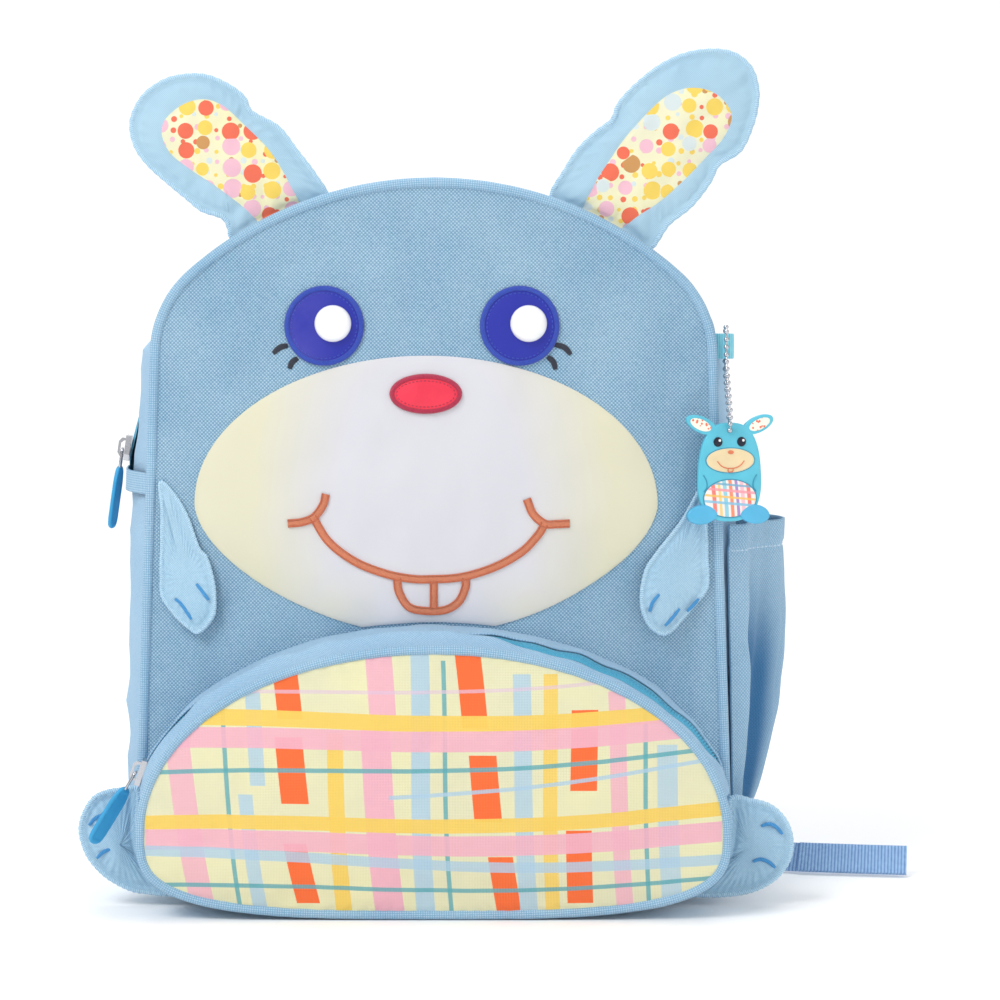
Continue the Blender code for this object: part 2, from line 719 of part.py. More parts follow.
def make_pocket(front_panel, print_cloth, cloth, tape, edging):
    tree = tree_of(front_panel)
    middle = np.array([0, POCKET_LEVEL + 0.2 * POCKET_RISE])
    rim = POCKET_SEAM - POCKET_NORMALS * (POCKET_PIPING_RADIUS + GAP)
    shares = np.array((1.0, 0.88, 0.62, 0.32))
    face = POCKET_FRONT - CLOTH_WALL / 2 - POCKET_BULGE * (1 - shares**2.6)
    flat = rings(rim, middle, shares)
    crown = POCKET_FRONT - CLOTH_WALL / 2 - POCKET_BULGE
    disc(
        "pocket_panel",
        at_depth(flat, face[:, None]),
        at_depth(middle, crown),
        at_depth(flat, face[:, None] + CLOTH_WALL),
        at_depth(middle, crown + CLOTH_WALL),
        print_cloth,
    )
    make_piping("pocket_piping", at_depth(POCKET_SEAM, POCKET_FRONT), POCKET_PIPING_RADIUS, edging)
    count = len(POCKET_SEAM)
    upper = np.arange(POCKET_TOP_STEPS + 1)
    lower = np.arange(POCKET_TOP_STEPS, count + 1) % count
    depth = POCKET_DEPTH
    zip_start, zip_end = POCKET_ZIP_PLACE / depth, (POCKET_ZIP_PLACE + POCKET_ZIP_WIDTH) / depth
    space = GAP / depth
    coil = (zip_start + zip_end) / 2
    half_coil = ZIP_COIL_WIDTH / 2 / depth
    sunk = CLOTH_WALL / 2
    zip_profile = [
        (zip_start, sunk),
        (coil - half_coil, sunk),
        (coil, sunk - ZIP_COIL_RISE),
        (coil + half_coil, sunk),
        (zip_end, sunk),
        (zip_end, sunk + ZIP_TAPE),
        (zip_start, sunk + ZIP_TAPE),
    ]
    pieces = (
        ("pocket_front_strip", upper, wall_profile([0, zip_start - space], CLOTH_WALL), cloth),
        ("pocket_zip", upper, zip_profile, tape),
        ("pocket_back_strip", upper, wall_profile([zip_end + space, 0.75, 1], CLOTH_WALL), cloth),
        ("pocket_base", lower, wall_profile([0, 0.5, 1], CLOTH_WALL), cloth),
    )
    for name, stations, profile, material in pieces:
        sweep(name, part_ends(pocket_sections(stations, profile, tree), GAP), material)


def patch(name, outline, target, material, shares, height, puff):
    """An appliqué on a curved surface: its underside lies on the target, its face puffs up from an edge."""
    tree = tree_of(target)
    middle = outline.mean(axis=0)

    def under(points):
        found = [hit(tree, (x, POCKET_FRONT * 2, z), (0, 1, 0)).y for x, z in points.reshape(-1, 2)]
        return np.array(found).reshape(points.shape[:-1]) - GAP

    shares = np.array(shares)
    flat = rings(outline, middle, shares)
    back, back_middle = under(flat), under(middle[None])[0]
    rise = height + puff * np.sqrt(1 - shares**2)
    obj = disc(
        name,
        at_depth(flat, back - rise[:, None]),
        at_depth(middle, back_middle - height - puff),
        at_depth(flat, back),
        at_depth(middle, back_middle),
        material,
    )
    settle(obj, target, (0, 1, 0))
    return obj


def circle(centre, radius, steps, flatten=1.0):
    angles = np.arange(steps) * 2 * math.pi / steps
    return centre + np.stack([radius * np.cos(angles), radius * flatten * np.sin(angles)], axis=1)


def make_face(front_panel, cloth, eye, dome, nose):
    angles = np.arange(36) * 2 * math.pi / 36
    outline = rounded(angles, MUZZLE_HALF_WIDTH, MUZZLE_RISE, MUZZLE_DROP, 2.0, 1.68)
    outline += np.array([FACE_SHIFT, MUZZLE_LEVEL])
    pocket_top = POCKET_BACK[POCKET_TOP_STEPS::-1]
    under = np.interp(outline[:, 0], pocket_top[:, 0], pocket_top[:, 1]) + 4 * GAP
    outline[:, 1] = np.maximum(outline[:, 1], under)
    muzzle = patch(
        "muzzle", outline, front_panel, cloth, (1.0, 0.86, 0.48), PATCH_THICKNESS, MUZZLE_PUFF
    )
    patch(
        "nose",
        circle(np.array([FACE_SHIFT, NOSE_LEVEL]), NOSE_HALF_WIDTH, 20, NOSE_HALF_HEIGHT / NOSE_HALF_WIDTH),
        muzzle,
        nose,
        (1.0, 0.75),
        PATCH_THICKNESS,
        PATCH_THICKNESS,
    )
    for side, shift in (("left", -1), ("right", 1)):
        centre = np.array([FACE_SHIFT * 1.5 + shift * EYE_SPACING / 2, EYE_LEVEL])
        outline = circle(centre, EYE_RADIUS, 20)
        disc_eye = patch(f"eye_{side}", outline, front_panel, eye, (1.0, 0.8), PATCH_THICKNESS, EYE_PUFF)
        patch(
            f"eye_dome_{side}",
            circle(centre + np.array([EYE_DOME_ACROSS, EYE_DOME_UP]), EYE_DOME_RADIUS, 14),
            disc_eye,
            dome,
            (1.0, 0.82, 0.45),
            EYE_DOME_EDGE,
            EYE_DOME_HEIGHT,
        )


def flap_grid(rows, start, along, aside, length, width, columns):
    """Points of a flap from rows of place, one edge and other edge, and their shares off its middle."""
    rows = np.array(rows)
    spread = np.sin(np.linspace(-1, 1, columns) * math.pi / 2)
    middle = (rows[:, 1] + rows[:, 2])[:, None] / 2
    half = (rows[:, 2] - rows[:, 1])[:, None] / 2
    offsets = (middle + half * spread) * width
    flat = start + (rows[:, :1] * length)[..., None] * along + offsets[..., None] * aside
    return flat, np.broadcast_to(spread, offsets.shape)


def make_ears(cloth):
    tree = tree_of(bpy.data.objects["gusset_front_strip"])
    middle_depth = FRONT + PIPING_RADIUS + GAP + FLAP_EDGE * 1.6
    arch = np.array([0, BAG_HEIGHT - PIPING_RADIUS - TOP_RADIUS])
    for side, shift, axis, rows in (
        ("left", -1, (-0.651, 0.759), LEFT_EAR_ROWS),
        ("right", 1, (0.567, 0.824), RIGHT_EAR_ROWS),
    ):
        along = unit(np.array(axis))
        aside = np.array([along[1], -along[0]]) * -shift
        lean = math.asin(EAR_SPREAD / TOP_RADIUS)
        start = arch + TOP_RADIUS * np.array([shift * math.sin(lean), math.cos(lean)])
        flat, spread = flap_grid(np.array(rows)[:, :3], start, along, aside, EAR_LENGTH, EAR_WIDTH, 6)
        fullness = np.array(rows)[:, 3:]
        thick = FLAP_EDGE + EAR_PUFF * fullness * np.sqrt(np.maximum(1 - spread**2, 0))
        faces = []
        for sign in (-1, 1):
            depth = middle_depth + sign * thick / 2
            grid = at_depth(flat, depth)
            for column, point in enumerate(grid[0]):
                far = point + 0.05 * np.array([along[0], 0, along[1]])
                seat = hit(tree, far, (-along[0], 0, -along[1]))
                grid[0, column] = np.array(seat) + 3 * GAP * np.array([along[0], 0, along[1]])
            faces.append(grid)
        obj = sheet(f"ear_{side}", faces[0], faces[1], cloth)
        settle(obj, bpy.data.objects["gusset_front_strip"], (-along[0], 0, -along[1]))


def make_arms(front_panel, cloth):
    tree = tree_of(front_panel)
    for side, shift, rows in (("left", -1, LEFT_ARM_ROWS), ("right", 1, RIGHT_ARM_ROWS)):
        rows = np.array(rows)
        levels = ARM_TOP_LEVEL - rows[:, 0] * ARM_LENGTH
        lower_half = SEAM[: len(SEAM) // 2]
        seam = np.interp(levels, lower_half[BASE_STEPS:, 1], lower_half[BASE_STEPS:, 0])
        edge = seam - PIPING_RADIUS - 2 * GAP
        spread = np.linspace(0, 1, 4)
        share = rows[:, 1:2] + (rows[:, 2:3] - rows[:, 1:2]) * spread
        across = shift * (edge[:, None] - share * ARM_WIDTH)
        flat = np.stack([across, np.broadcast_to(levels[:, None], across.shape)], axis=-1)
        seat = [hit(tree, (x, POCKET_FRONT, z), (0, 1, 0)).y for x, z in flat.reshape(-1, 2)]
        back = np.array(seat).reshape(across.shape) - GAP - ARM_LIFT * share * rows[:, :1]
        thick = FLAP_EDGE + ARM_PUFF * np.sin(spread * math.pi)
        obj = sheet(f"arm_{side}", at_depth(flat, back - thick), at_depth(flat, back), cloth)
        settle(obj, front_panel, (0, 1, 0))


def make_feet(cloth):
    base = bpy.data.objects["pocket_base"]
    tree = tree_of(base)
    middle_depth = FRONT - PIPING_RADIUS - GAP - (FLAP_EDGE + FOOT_PUFF) / 2
    for side, shift in (("left", -1), ("right", 1)):
        start = np.array([shift * BASE_HALF_WIDTH * 0.965, FOOT_LEVEL])
        along, aside = np.array([shift, 0]), np.array([0, 1])
        flat, spread = flap_grid(FOOT_ROWS, start, along, aside, FOOT_LENGTH, FOOT_HEIGHT, 6)
        thick = FLAP_EDGE + FOOT_PUFF * np.sqrt(np.maximum(1 - spread**2, 0))
        faces = []
        for sign in (-1, 1):
            grid = at_depth(flat, middle_depth + sign * thick / 2)
            for column, point in enumerate(grid[0]):
                level = max(point[2], 0.3 * CORNER_RADIUS)
                seat = hit(tree, (shift * 2 * BASE_HALF_WIDTH, point[1], level), (-shift, 0, 0))
                grid[0, column, 0] = seat.x + shift * 2 * GAP
            faces.append(grid)
        obj = sheet(f"foot_{side}", faces[0], faces[1], cloth)
        settle(obj, base, (-shift, 0, 0))


def make_side_pocket(cloth):
    """An open-topped pocket on the right of the gusset, its sides and foot sewn down, gathered into folds."""
    base = bpy.data.objects["gusset_base"]
    tree = tree_of(base)
    places, folds = np.array(SIDE_POCKET_FOLDS).T
    rows, swells = np.array(SIDE_POCKET_ROWS).T
    levels = SIDE_POCKET_BOTTOM + rows * (SIDE_POCKET_TOP - SIDE_POCKET_BOTTOM)
    depth = FRONT + places * BAG_DEPTH
    away = SIDE_POCKET_SWELL * swells[:, None] * folds
    far = 2 * BASE_HALF_WIDTH
    seat = np.array([[hit(tree, (far, y, z), (-1, 0, 0)).x for y in depth] for z in levels])
    inner = np.stack(np.broadcast_arrays(seat + GAP + away, depth, levels[:, None]), axis=-1)
    outer = inner + np.array([SIDE_POCKET_WALL, 0, 0])
    obj = sheet("side_pocket", outer, inner, cloth)
    settle(obj, base, (-1, 0, 0))


def prism(name, outline, low, high, material):
    """An outline of the local XY plane raised from low to high."""
    sections = [[(x, y, z) for x, y in outline] for z in (low, high)]
    return sweep(name, np.array(sections), material)


def join(obj, others, operation="UNION"):
    """Booleans on one object, with the others kept as hidden helpers."""
    for other in others:
        other.hide_render = True
        other.display_type = "WIRE"
        modifier = obj.modifiers.new(other.name, "BOOLEAN")
        modifier.operation = operation
        modifier.object = other


def frame_at(place, along, out):
    """A matrix whose X runs along, whose Z points out, and whose origin is the place."""
    along, out = Vector(along).normalized(), Vector(out)
    aside = out.cross(along).normalized()
    out = along.cross(aside)
    matrix = Matrix((along, aside, out)).transposed().to_4x4()
    matrix.translation = Vector(place)
    return matrix


def make_slider(name, frame, tape, metal):
    """A zip slider: a tapered body on the coil, and an arched bail over it that holds the pull.

    It returns the frame of the slider as it sits on the tape.
    """
    half, wide, tall = SLIDER_LENGTH / 2, SLIDER_WIDTH / 2, SLIDER_HEIGHT
    outline = [(-half, -wide), (half * 0.5, -wide), (half, -wide * 0.7)]
    outline += [(x, -y) for x, y in outline[::-1]]
    body = prism(name, outline, GAP, GAP + tall, metal)
    top = GAP + tall
    reach = half * 0.75
    wire = BAIL_WIRE
    outer = [(-reach, top - wire), (-reach, top + BAIL_HEIGHT * 0.6), (-reach * 0.6, top + BAIL_HEIGHT)]
    outer += [(-x, y) for x, y in outer[::-1]]
    inner = [(x * (1 - wire / reach), max(y - wire, top - 2 * wire)) for x, y in outer]
    flat = outer + inner[::-1]
    sections = [[(x, y, z) for x, z in flat] for y in (-wire * 0.6, wire * 0.6)]
    bail = sweep(f"{name}_bail_helper", np.array(sections), metal)
    body.data.transform(frame)
    out = frame.to_3x3() @ Vector((0, 0, 1))
    frame = settle(body, tape, -out) @ frame
    bail.data.transform(frame)
    join(body, [bail])
    return frame


def make_pull(name, frame, swing, twist, metal, rubber):
    """A zip pull that turns on its bar: a link round the bail, and a flat rubber tab, twisted on the link."""
    height = GAP + SLIDER_HEIGHT + BAIL_HEIGHT * 0.36
    bar = SLIDER_LENGTH * 0.09
    link, half, wire = PULL_LINK_LENGTH, PULL_LINK_WIDTH / 2, PULL_BAR
    xs = [-wire / 2, wire / 2, link - wire, link]
    ys = [-half, -half + wire, half - wire, half]
    ring = cell_plate(name, xs, ys, {(1, 1)}, wire, metal)
    tab_outline = [(0, -0.36), (0.06, -0.5), (0.94, -0.5), (1, -0.36)]
    tab_outline = [(x * PULL_LENGTH, y * PULL_WIDTH) for x, y in tab_outline]
    tab_outline += [(x, -y) for x, y in tab_outline[::-1]]
    tab = prism(f"{name}_tab_helper", tab_outline, -PULL_THICKNESS / 2, PULL_THICKNESS / 2, rubber)
    turn = Matrix.Rotation(twist, 4, "X")
    tab.data.transform(Matrix.Translation((link - wire / 2, 0, 0)) @ turn)
    join(ring, [tab])
    place = frame @ Matrix.Translation((bar, 0, height)) @ Matrix.Rotation(-swing, 4, "Y")
    for obj in (ring, tab):
        obj.data.transform(place)
    pivot = frame @ Vector((bar, 0, height))
    for obj in (ring, tab):
        obj.data.transform(Matrix.Translation(-pivot))
        obj.location = pivot
    ring.data.materials.append(rubber)
    return ring


def cell_plate(name, xs, ys, holes, thickness, material):
    """A flat plate on the lines xs and ys, open where a cell is named in holes."""
    columns = len(ys)
    top = [(x, y, thickness / 2) for x in xs for y in ys]
    bottom = [(x, y, -thickness / 2) for x in xs for y in ys]
    half = len(top)
    faces = []
    filled = {(i, j) for i in range(len(xs) - 1) for j in range(columns - 1)} - set(holes)
    for i, j in sorted(filled):
        corners = [i * columns + j, (i + 1) * columns + j, (i + 1) * columns + j + 1, i * columns + j + 1]
        faces.append(tuple(corners))
        faces.append(tuple(corner + half for corner in corners[::-1]))
        beside = ((i, j - 1), (i + 1, j), (i, j + 1), (i - 1, j))
        for edge, neighbour in enumerate(beside):
            if neighbour not in filled:
                a, b = corners[edge], corners[(edge + 1) % 4]
                faces.append((a, a + half, b + half, b))
    return add_mesh(name, top + bottom, faces, material)


def surface_frame(tree, side, depth, level, span):
    """A frame on the left or right of a surface: X down the surface, Z outwards."""
    far = 2 * BASE_HALF_WIDTH * side
    upper, lower = (hit(tree, (far, depth, level + step), (-side, 0, 0)) for step in (span, -span))
    along = lower - upper
    out = Vector((side, 0, 0))
    return frame_at((upper + lower) / 2, along, out)


def make_zip_pulls(metal, rubber):
    slides = (
        ("main_zip", BAG_DEPTH / 2 + FRONT, MAIN_SLIDER_LEVEL, 0.0, MAIN_PULL_TWIST),
        (
            "pocket_zip",
            POCKET_FRONT + POCKET_ZIP_PLACE + POCKET_ZIP_WIDTH / 2 + POCKET_PIPING_RADIUS * 0.8,
            POCKET_SLIDER_LEVEL,
            POCKET_PULL_SWING,
            POCKET_PULL_TWIST,
        ),
    )
    for name, depth, level, swing, twist in slides:
        tape = bpy.data.objects[name]
        frame = surface_frame(tree_of(tape), -1, depth, level, SLIDER_LENGTH / 2)
        frame = make_slider(f"{name}_slider", frame, tape, metal)
        make_pull(f"{name}_pull", frame, swing, twist, metal, rubber)


def make_loop_and_charm(ribbon_cloth, metal, rubber):
    """A ribbon loop in the right side seam, the chain through it, and the flat charm on the chain."""
    upper = SEAM[: len(SEAM) // 2 + 1]
    seam_x = np.interp(LOOP_LEVEL, upper[BASE_STEPS:, 1], upper[BASE_STEPS:, 0])
    near = FRONT + PIPING_RADIUS + GAP + RIBBON_THICKNESS / 2
    half = (LOOP_OPENING + RIBBON_THICKNESS) / 2
    middle = near + half
    gusset = tree_of(bpy.data.objects["gusset_front_strip"])
    foot = LOOP_LEVEL - LOOP_WIDTH / 2
    start, far_start = (
        hit(gusset, (2 * BASE_HALF_WIDTH, depth + RIBBON_THICKNESS, foot), (-1, 0, 0)).x + GAP
        for depth in (near, middle + half)
    )
    tip = seam_x + LOOP_REACH
    outline = [(start, near), (tip - half, near)]
    for turn in (-60, -20, 20, 60):
        angle = math.radians(turn)
        outline.append((tip - half + half * math.cos(angle), middle + half * math.sin(angle)))
    outline += [(tip - half, middle + half), (far_start, middle + half)]
    path = np.array([(x, y, LOOP_LEVEL) for x, y in outline])
    ribbon("charm_loop", path, (0, 0, 1), LOOP_WIDTH, RIBBON_THICKNESS, ribbon_cloth)

    charm_depth = FRONT - CHARM_STANDOFF
    hole = Vector((tip - half * 1.2, charm_depth, CHARM_HOLE_LEVEL))
    charm = make_charm(hole, rubber)
    over = LOOP_LEVEL + LOOP_WIDTH / 2 + CHAIN_RADIUS + GAP
    front_face = near - RIBBON_THICKNESS / 2 - CHAIN_RADIUS - 2 * GAP
    plate = CHARM_THICKNESS / 2 + CHAIN_RADIUS + 2 * GAP
    inside = tip - half * 1.5
    route = (
        (inside, middle, LOOP_LEVEL),
        (inside, middle, over - CHAIN_RADIUS),
        (inside, (middle + front_face) / 2, over + CHAIN_RADIUS * 1.3),
        (inside, front_face - CHAIN_RADIUS, over - CHAIN_RADIUS),
        (inside, front_face - CHAIN_RADIUS * 1.5, LOOP_LEVEL - LOOP_WIDTH / 2),
        (hole.x, charm_depth - plate - CHAIN_RADIUS, CHARM_HOLE_LEVEL + 0.009),
        (hole.x, charm_depth - plate - CHAIN_RADIUS * 0.5, CHARM_HOLE_LEVEL + 0.003),
        (hole.x, charm_depth - plate * 0.7, CHARM_HOLE_LEVEL + 0.0002),
        (hole.x, charm_depth, CHARM_HOLE_LEVEL - 0.0004),
        (hole.x, charm_depth + plate * 0.7, CHARM_HOLE_LEVEL + 0.0002),
        (hole.x, charm_depth + plate + CHAIN_RADIUS * 0.5, CHARM_HOLE_LEVEL + 0.003),
        (hole.x, charm_depth + plate + CHAIN_RADIUS, CHARM_HOLE_LEVEL + 0.009),
        (inside, middle - CHAIN_RADIUS * 0.5, LOOP_LEVEL - LOOP_WIDTH / 2 - 0.006),
    )
    looped = np.array([*route, route[0]])
    make_piping("charm_chain", smooth_path(looped, 3)[:-1], CHAIN_RADIUS, metal)


def make_charm(hole, rubber):
    """A flat moulded rabbit: body with ears and feet, a raised muzzle and belly, and a hole for the chain."""
    wide, tall, thick = CHARM_HALF_WIDTH, CHARM_HALF_HEIGHT, CHARM_THICKNESS / 2
    angles = np.arange(28) * 2 * math.pi / 28
    outline = rounded(angles, wide, tall, tall, 2.5, 2.7)
    body = prism("charm", outline, -thick, thick, rubber)
    lumps = []
    for index, (x, y, radius, flatten, turn, low, high) in enumerate(
        (
            (-0.86, 0.93, 0.50, 0.48, -20, -thick * 0.9, thick * 0.9),
            (0.86, 0.93, 0.50, 0.48, 20, -thick * 0.9, thick * 0.9),
            (-0.80, -0.90, 0.52, 0.62, 8, -thick * 0.9, thick * 1.5),
            (0.80, -0.90, 0.52, 0.62, -8, -thick * 0.9, thick * 1.5),
            (0.0, 0.30, 0.82, 0.52, 0, 0, thick * 1.3),
            (0.0, -0.42, 0.80, 0.74, 0, 0, thick * 1.5),
        )
    ):
        ellipse = circle(np.zeros(2), wide * radius, 16, flatten)
        lump = prism(f"charm_helper_{index}", ellipse, low, high, rubber)
        spin = Matrix.Rotation(math.radians(turn), 4, "Z")
        lump.data.transform(Matrix.Translation((x * wide, y * tall, 0)) @ spin)
        lumps.append(lump)
    join(body, lumps)
    bore = prism("charm_hole_helper", circle(np.zeros(2), CHARM_HOLE_RADIUS, 12), -0.01, 0.01, rubber)
    drop = tall * 0.82
    bore.data.transform(Matrix.Translation((0, drop, 0)))
    join(body, [bore], "DIFFERENCE")
    stand = Matrix.Rotation(math.pi / 2, 4, "X")
    place = Matrix.Translation(hole) @ Matrix.Rotation(CHARM_TURN, 4, "Z") @ stand
    for obj in (body, *lumps, bore):
        obj.data.transform(place @ Matrix.Translation((0, -drop, 0)))
    return body


def make_back(back_panel, padding, webbing, plastic, cloth):
    """Padded shoulder straps, ladder locks, webbing with its free tails, anchors and the grab handle."""
    tree = tree_of(back_panel)
    make_handle(tree, webbing)
    rows = np.array(STRAP_ROWS)
    centre = rows[:, :3] * np.array([BASE_HALF_WIDTH, BAG_DEPTH, BAG_HEIGHT]) + np.array([0, BACK, 0])
    top = hit(tree, (centre[0, 0], 2 * BAG_DEPTH, centre[0, 2]), (0, -1, 0)).y
    centre[0, 1] = top + 3 * GAP + STRAP_THICKNESS * 0.75
    steps = 2
    for side, shift in (("left", -1), ("right", 1)):
        mirror = np.array([shift, 1, 1])
        path = smooth_path(centre, steps)
        widths = STRAP_WIDTH * smooth_path(rows[:, 3:], steps)[:, 0]
        strap = ribbon(
            f"shoulder_strap_{side}", path * mirror, (1, 0, 0), widths, STRAP_THICKNESS, padding, rounded=True
        )
        settle(strap, back_panel, (0, -1, 0))
        end, before = path[-1], path[-2]
        run = unit(end - before)
        pitch = LOCK_BAR + LOCK_SLOT
        lock_middle = end + run * (GAP * 2 + LOCK_BAR / 2 + pitch)
        out = unit(np.cross((1, 0, 0), run))
        out = out * np.sign(out[1])
        across = np.array([1, 0, 0])
        half = LOCK_WIDTH / 2
        bars = [-pitch - LOCK_BAR / 2, -pitch + LOCK_BAR / 2, -LOCK_BAR / 2]
        bars += [-bar for bar in bars[::-1]]
        wide = [-half, -half + LOCK_BAR, half - LOCK_BAR, half]
        lock = cell_plate(f"ladder_lock_{side}", bars, wide, {(1, 1), (3, 1)}, LOCK_BAR, plastic)
        middle = lock_middle * mirror
        lock.data.transform(frame_at(middle, run * mirror, out * mirror))
        foot = make_webbing(side, shift, tree, lock_middle, run, out, webbing)
    make_anchors(tree, foot, cloth)


def make_handle(panel_tree, webbing):
    """The grab handle: a band sewn flat to the back at both ends, with a straight grip that stands off it."""
    half = HANDLE_SPAN / 2
    low = STRAP_LEVEL + HANDLE_WIDTH * 0.6
    skin = [hit(panel_tree, (x, 2 * BAG_DEPTH, low), (0, -1, 0)).y for x in (half, half * 0.8)]
    lift = WEBBING_THICKNESS / 2 + 2 * GAP
    side = [
        (half, skin[0] + lift),
        (half * 0.86, skin[1] + lift + HANDLE_RISE * 0.10),
        (half * 0.72, skin[1] + lift + HANDLE_RISE * 0.60),
        (half * 0.55, skin[1] + lift + HANDLE_RISE * 0.96),
        (half * 0.40, skin[1] + lift + HANDLE_RISE),
    ]
    outline = [(-x, y) for x, y in side] + side[::-1]
    path = np.array([(x, y, low) for x, y in outline])
    ribbon("grab_handle", path, (0, 0, 1), HANDLE_WIDTH, WEBBING_THICKNESS, webbing)


def make_anchors(panel_tree, webbing_foot, cloth):
    """Cloth tabs in the lower corners of the back, which hold the webbing's lower ends."""
    for side, shift in (("left", -1), ("right", 1)):
        x, y, z = webbing_foot * np.array([shift, 1, 1])
        size = WEBBING_WIDTH * 0.62
        tall = CORNER_RADIUS * 0.40
        high = z - 3 * GAP
        low_row = [(x - size, z - tall), (x + size, z - tall)]
        flat = np.array([low_row, [(x - size * 0.85, high), (x + size * 0.85, high)]])
        skin = [[hit(panel_tree, (u, 2 * BAG_DEPTH, v), (0, -1, 0)).y for u, v in row] for row in flat]
        back = np.array(skin) + GAP
        obj = sheet(f"strap_anchor_{side}", at_depth(flat, back + CLOTH_WALL), at_depth(flat, back), cloth)
        settle(obj, bpy.data.objects["back_panel"], (0, -1, 0))


def make_webbing(side, shift, panel_tree, lock, run, out, webbing):
    """One webbing from the anchor up round the lock's middle bar and down again into a free tail."""
    mirror = np.array([shift, 1, 1])
    turn = LOCK_BAR * math.sqrt(0.5) + GAP * 2 + WEBBING_THICKNESS / 2
    pitch = LOCK_BAR + LOCK_SLOT

    def at(along, away):
        return lock + run * along + out * away

    foot = np.array([BASE_HALF_WIDTH * 0.83, 0, CORNER_RADIUS])
    foot[1] = hit(panel_tree, (foot[0], 2 * BAG_DEPTH, foot[2]), (0, -1, 0)).y + 4 * GAP + WEBBING_THICKNESS
    around = [math.radians(angle) for angle in (-90, -45, 0, 45, 90)]
    rise = [
        foot,
        foot + np.array([0, 0, 0.45 * CORNER_RADIUS]),
        at(pitch + 0.006, -turn),
        at(pitch * 0.5, -turn),
        *[at(-turn * math.cos(angle), turn * math.sin(angle)) for angle in around],
        at(pitch * 0.5, turn),
        at(pitch + 0.006, turn),
    ]
    low = WEBBING_WIDTH / 2 * math.cos(TAIL_TILT) + WEBBING_THICKNESS
    shares = np.array(RIGHT_TAIL_ROWS if shift > 0 else LEFT_TAIL_ROWS)
    way = np.array([TAIL_REACH - lock[0], BAG_DEPTH, lock[2] - low])
    tail = np.array([lock[0], BACK, low]) + shares * way
    points = np.array([*rise, *tail]) * mirror
    path = smooth_path(points, 2)
    level = np.clip((path[:, 2] - low) / (lock[2] - low), 0, 1)[:, None]
    far_out = (np.abs(path[:, :1]) - lock[0]) / (TAIL_REACH - lock[0])
    tilt = np.clip((far_out - 0.16) / 0.26, 0, 1) * (math.pi / 2 - TAIL_TILT)
    lying = np.concatenate([0 * tilt, np.cos(tilt), np.sin(tilt)], axis=1) * (shift > 0)
    step = np.arange(len(path))[:, None]
    aside = np.cross(run, out) * np.sign(np.cross(run, out)[0]) * mirror
    held = np.where(step < 4, [shift, 0, 0], aside)
    across = np.where(step > 2 * len(rise), level * aside + (1 - level) * lying, held)
    ribbon(f"webbing_{side}", path, unit(across), WEBBING_WIDTH, WEBBING_THICKNESS, webbing)
    return foot


def clear_scene():
    for obj in list(bpy.data.objects):
        bpy.data.objects.remove(obj, do_unlink=True)


def main():
    clear_scene()
    cloth = make_material("body_cloth", (158, 194, 222), 0.85)
    flap_cloth = make_material("flap_cloth", (150, 205, 235), 0.85)
    edging = make_material("edging_cloth", (150, 188, 220), 0.8)
    padding = make_material("padded_cloth", (120, 165, 200), 0.9)
    white_cloth = make_material("muzzle_cloth", (228, 228, 222), 0.8)
    print_cloth = make_material("print_cloth", (232, 229, 185), 0.8)
    tape = make_material("zip_tape", (90, 175, 205), 0.7)
    eye_cloth = make_material("eye_vinyl", (60, 60, 165), 0.35)
    dome_plastic = make_material("white_plastic", (245, 245, 245), 0.2)
    nose_cloth = make_material("nose_vinyl", (235, 75, 95), 0.35)
    metal = make_material("nickel", (200, 200, 205), 0.25, 1.0)
    rubber = make_material("pull_rubber", (75, 165, 215), 0.5)
    charm_rubber = make_material("charm_rubber", (115, 195, 215), 0.45)
    ribbon_cloth = make_material("ribbon", (110, 200, 225), 0.7)
    webbing = make_material("webbing", (110, 150, 215), 0.75)
    plastic = make_material("lock_plastic", (95, 150, 205), 0.4)

    front_panel, back_panel = make_panels(cloth, padding)
    make_piping("front_piping", at_depth(SEAM, FRONT), PIPING_RADIUS, edging)
    make_piping("back_piping", at_depth(SEAM, BACK), PIPING_RADIUS, edging)
    make_gusset(cloth, tape)
    make_pocket(front_panel, print_cloth, cloth, tape, edging)
    make_face(front_panel, white_cloth, eye_cloth, dome_plastic, nose_cloth)
    make_ears(flap_cloth)
    make_arms(front_panel, flap_cloth)
    make_feet(flap_cloth)
    make_side_pocket(cloth)
    make_zip_pulls(metal, rubber)
    make_loop_and_charm(ribbon_cloth, metal, charm_rubber)
    make_back(back_panel, padding, webbing, plastic, cloth)


main()
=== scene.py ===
import math
import bpy
import numpy as np
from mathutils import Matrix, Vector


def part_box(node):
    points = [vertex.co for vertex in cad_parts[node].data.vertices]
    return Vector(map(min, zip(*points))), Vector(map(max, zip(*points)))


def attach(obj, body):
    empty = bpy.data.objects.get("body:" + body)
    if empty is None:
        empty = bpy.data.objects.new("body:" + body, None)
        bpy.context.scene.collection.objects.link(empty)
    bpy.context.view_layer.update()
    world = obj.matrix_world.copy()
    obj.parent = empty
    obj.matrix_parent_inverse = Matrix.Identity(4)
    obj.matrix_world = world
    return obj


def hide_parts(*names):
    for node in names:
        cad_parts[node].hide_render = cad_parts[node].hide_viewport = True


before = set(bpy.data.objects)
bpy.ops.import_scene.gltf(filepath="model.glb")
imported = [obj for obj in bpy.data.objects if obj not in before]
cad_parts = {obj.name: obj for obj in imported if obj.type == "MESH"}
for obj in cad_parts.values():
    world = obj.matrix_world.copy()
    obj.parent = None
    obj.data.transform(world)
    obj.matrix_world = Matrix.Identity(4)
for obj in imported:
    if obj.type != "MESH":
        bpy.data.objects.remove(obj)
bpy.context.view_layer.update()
print("frame loaded,", len(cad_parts), "nodes")


# small helpers for arrays

def unit(v):
    return v / np.maximum(np.linalg.norm(v, axis=-1, keepdims=True), 1e-12)


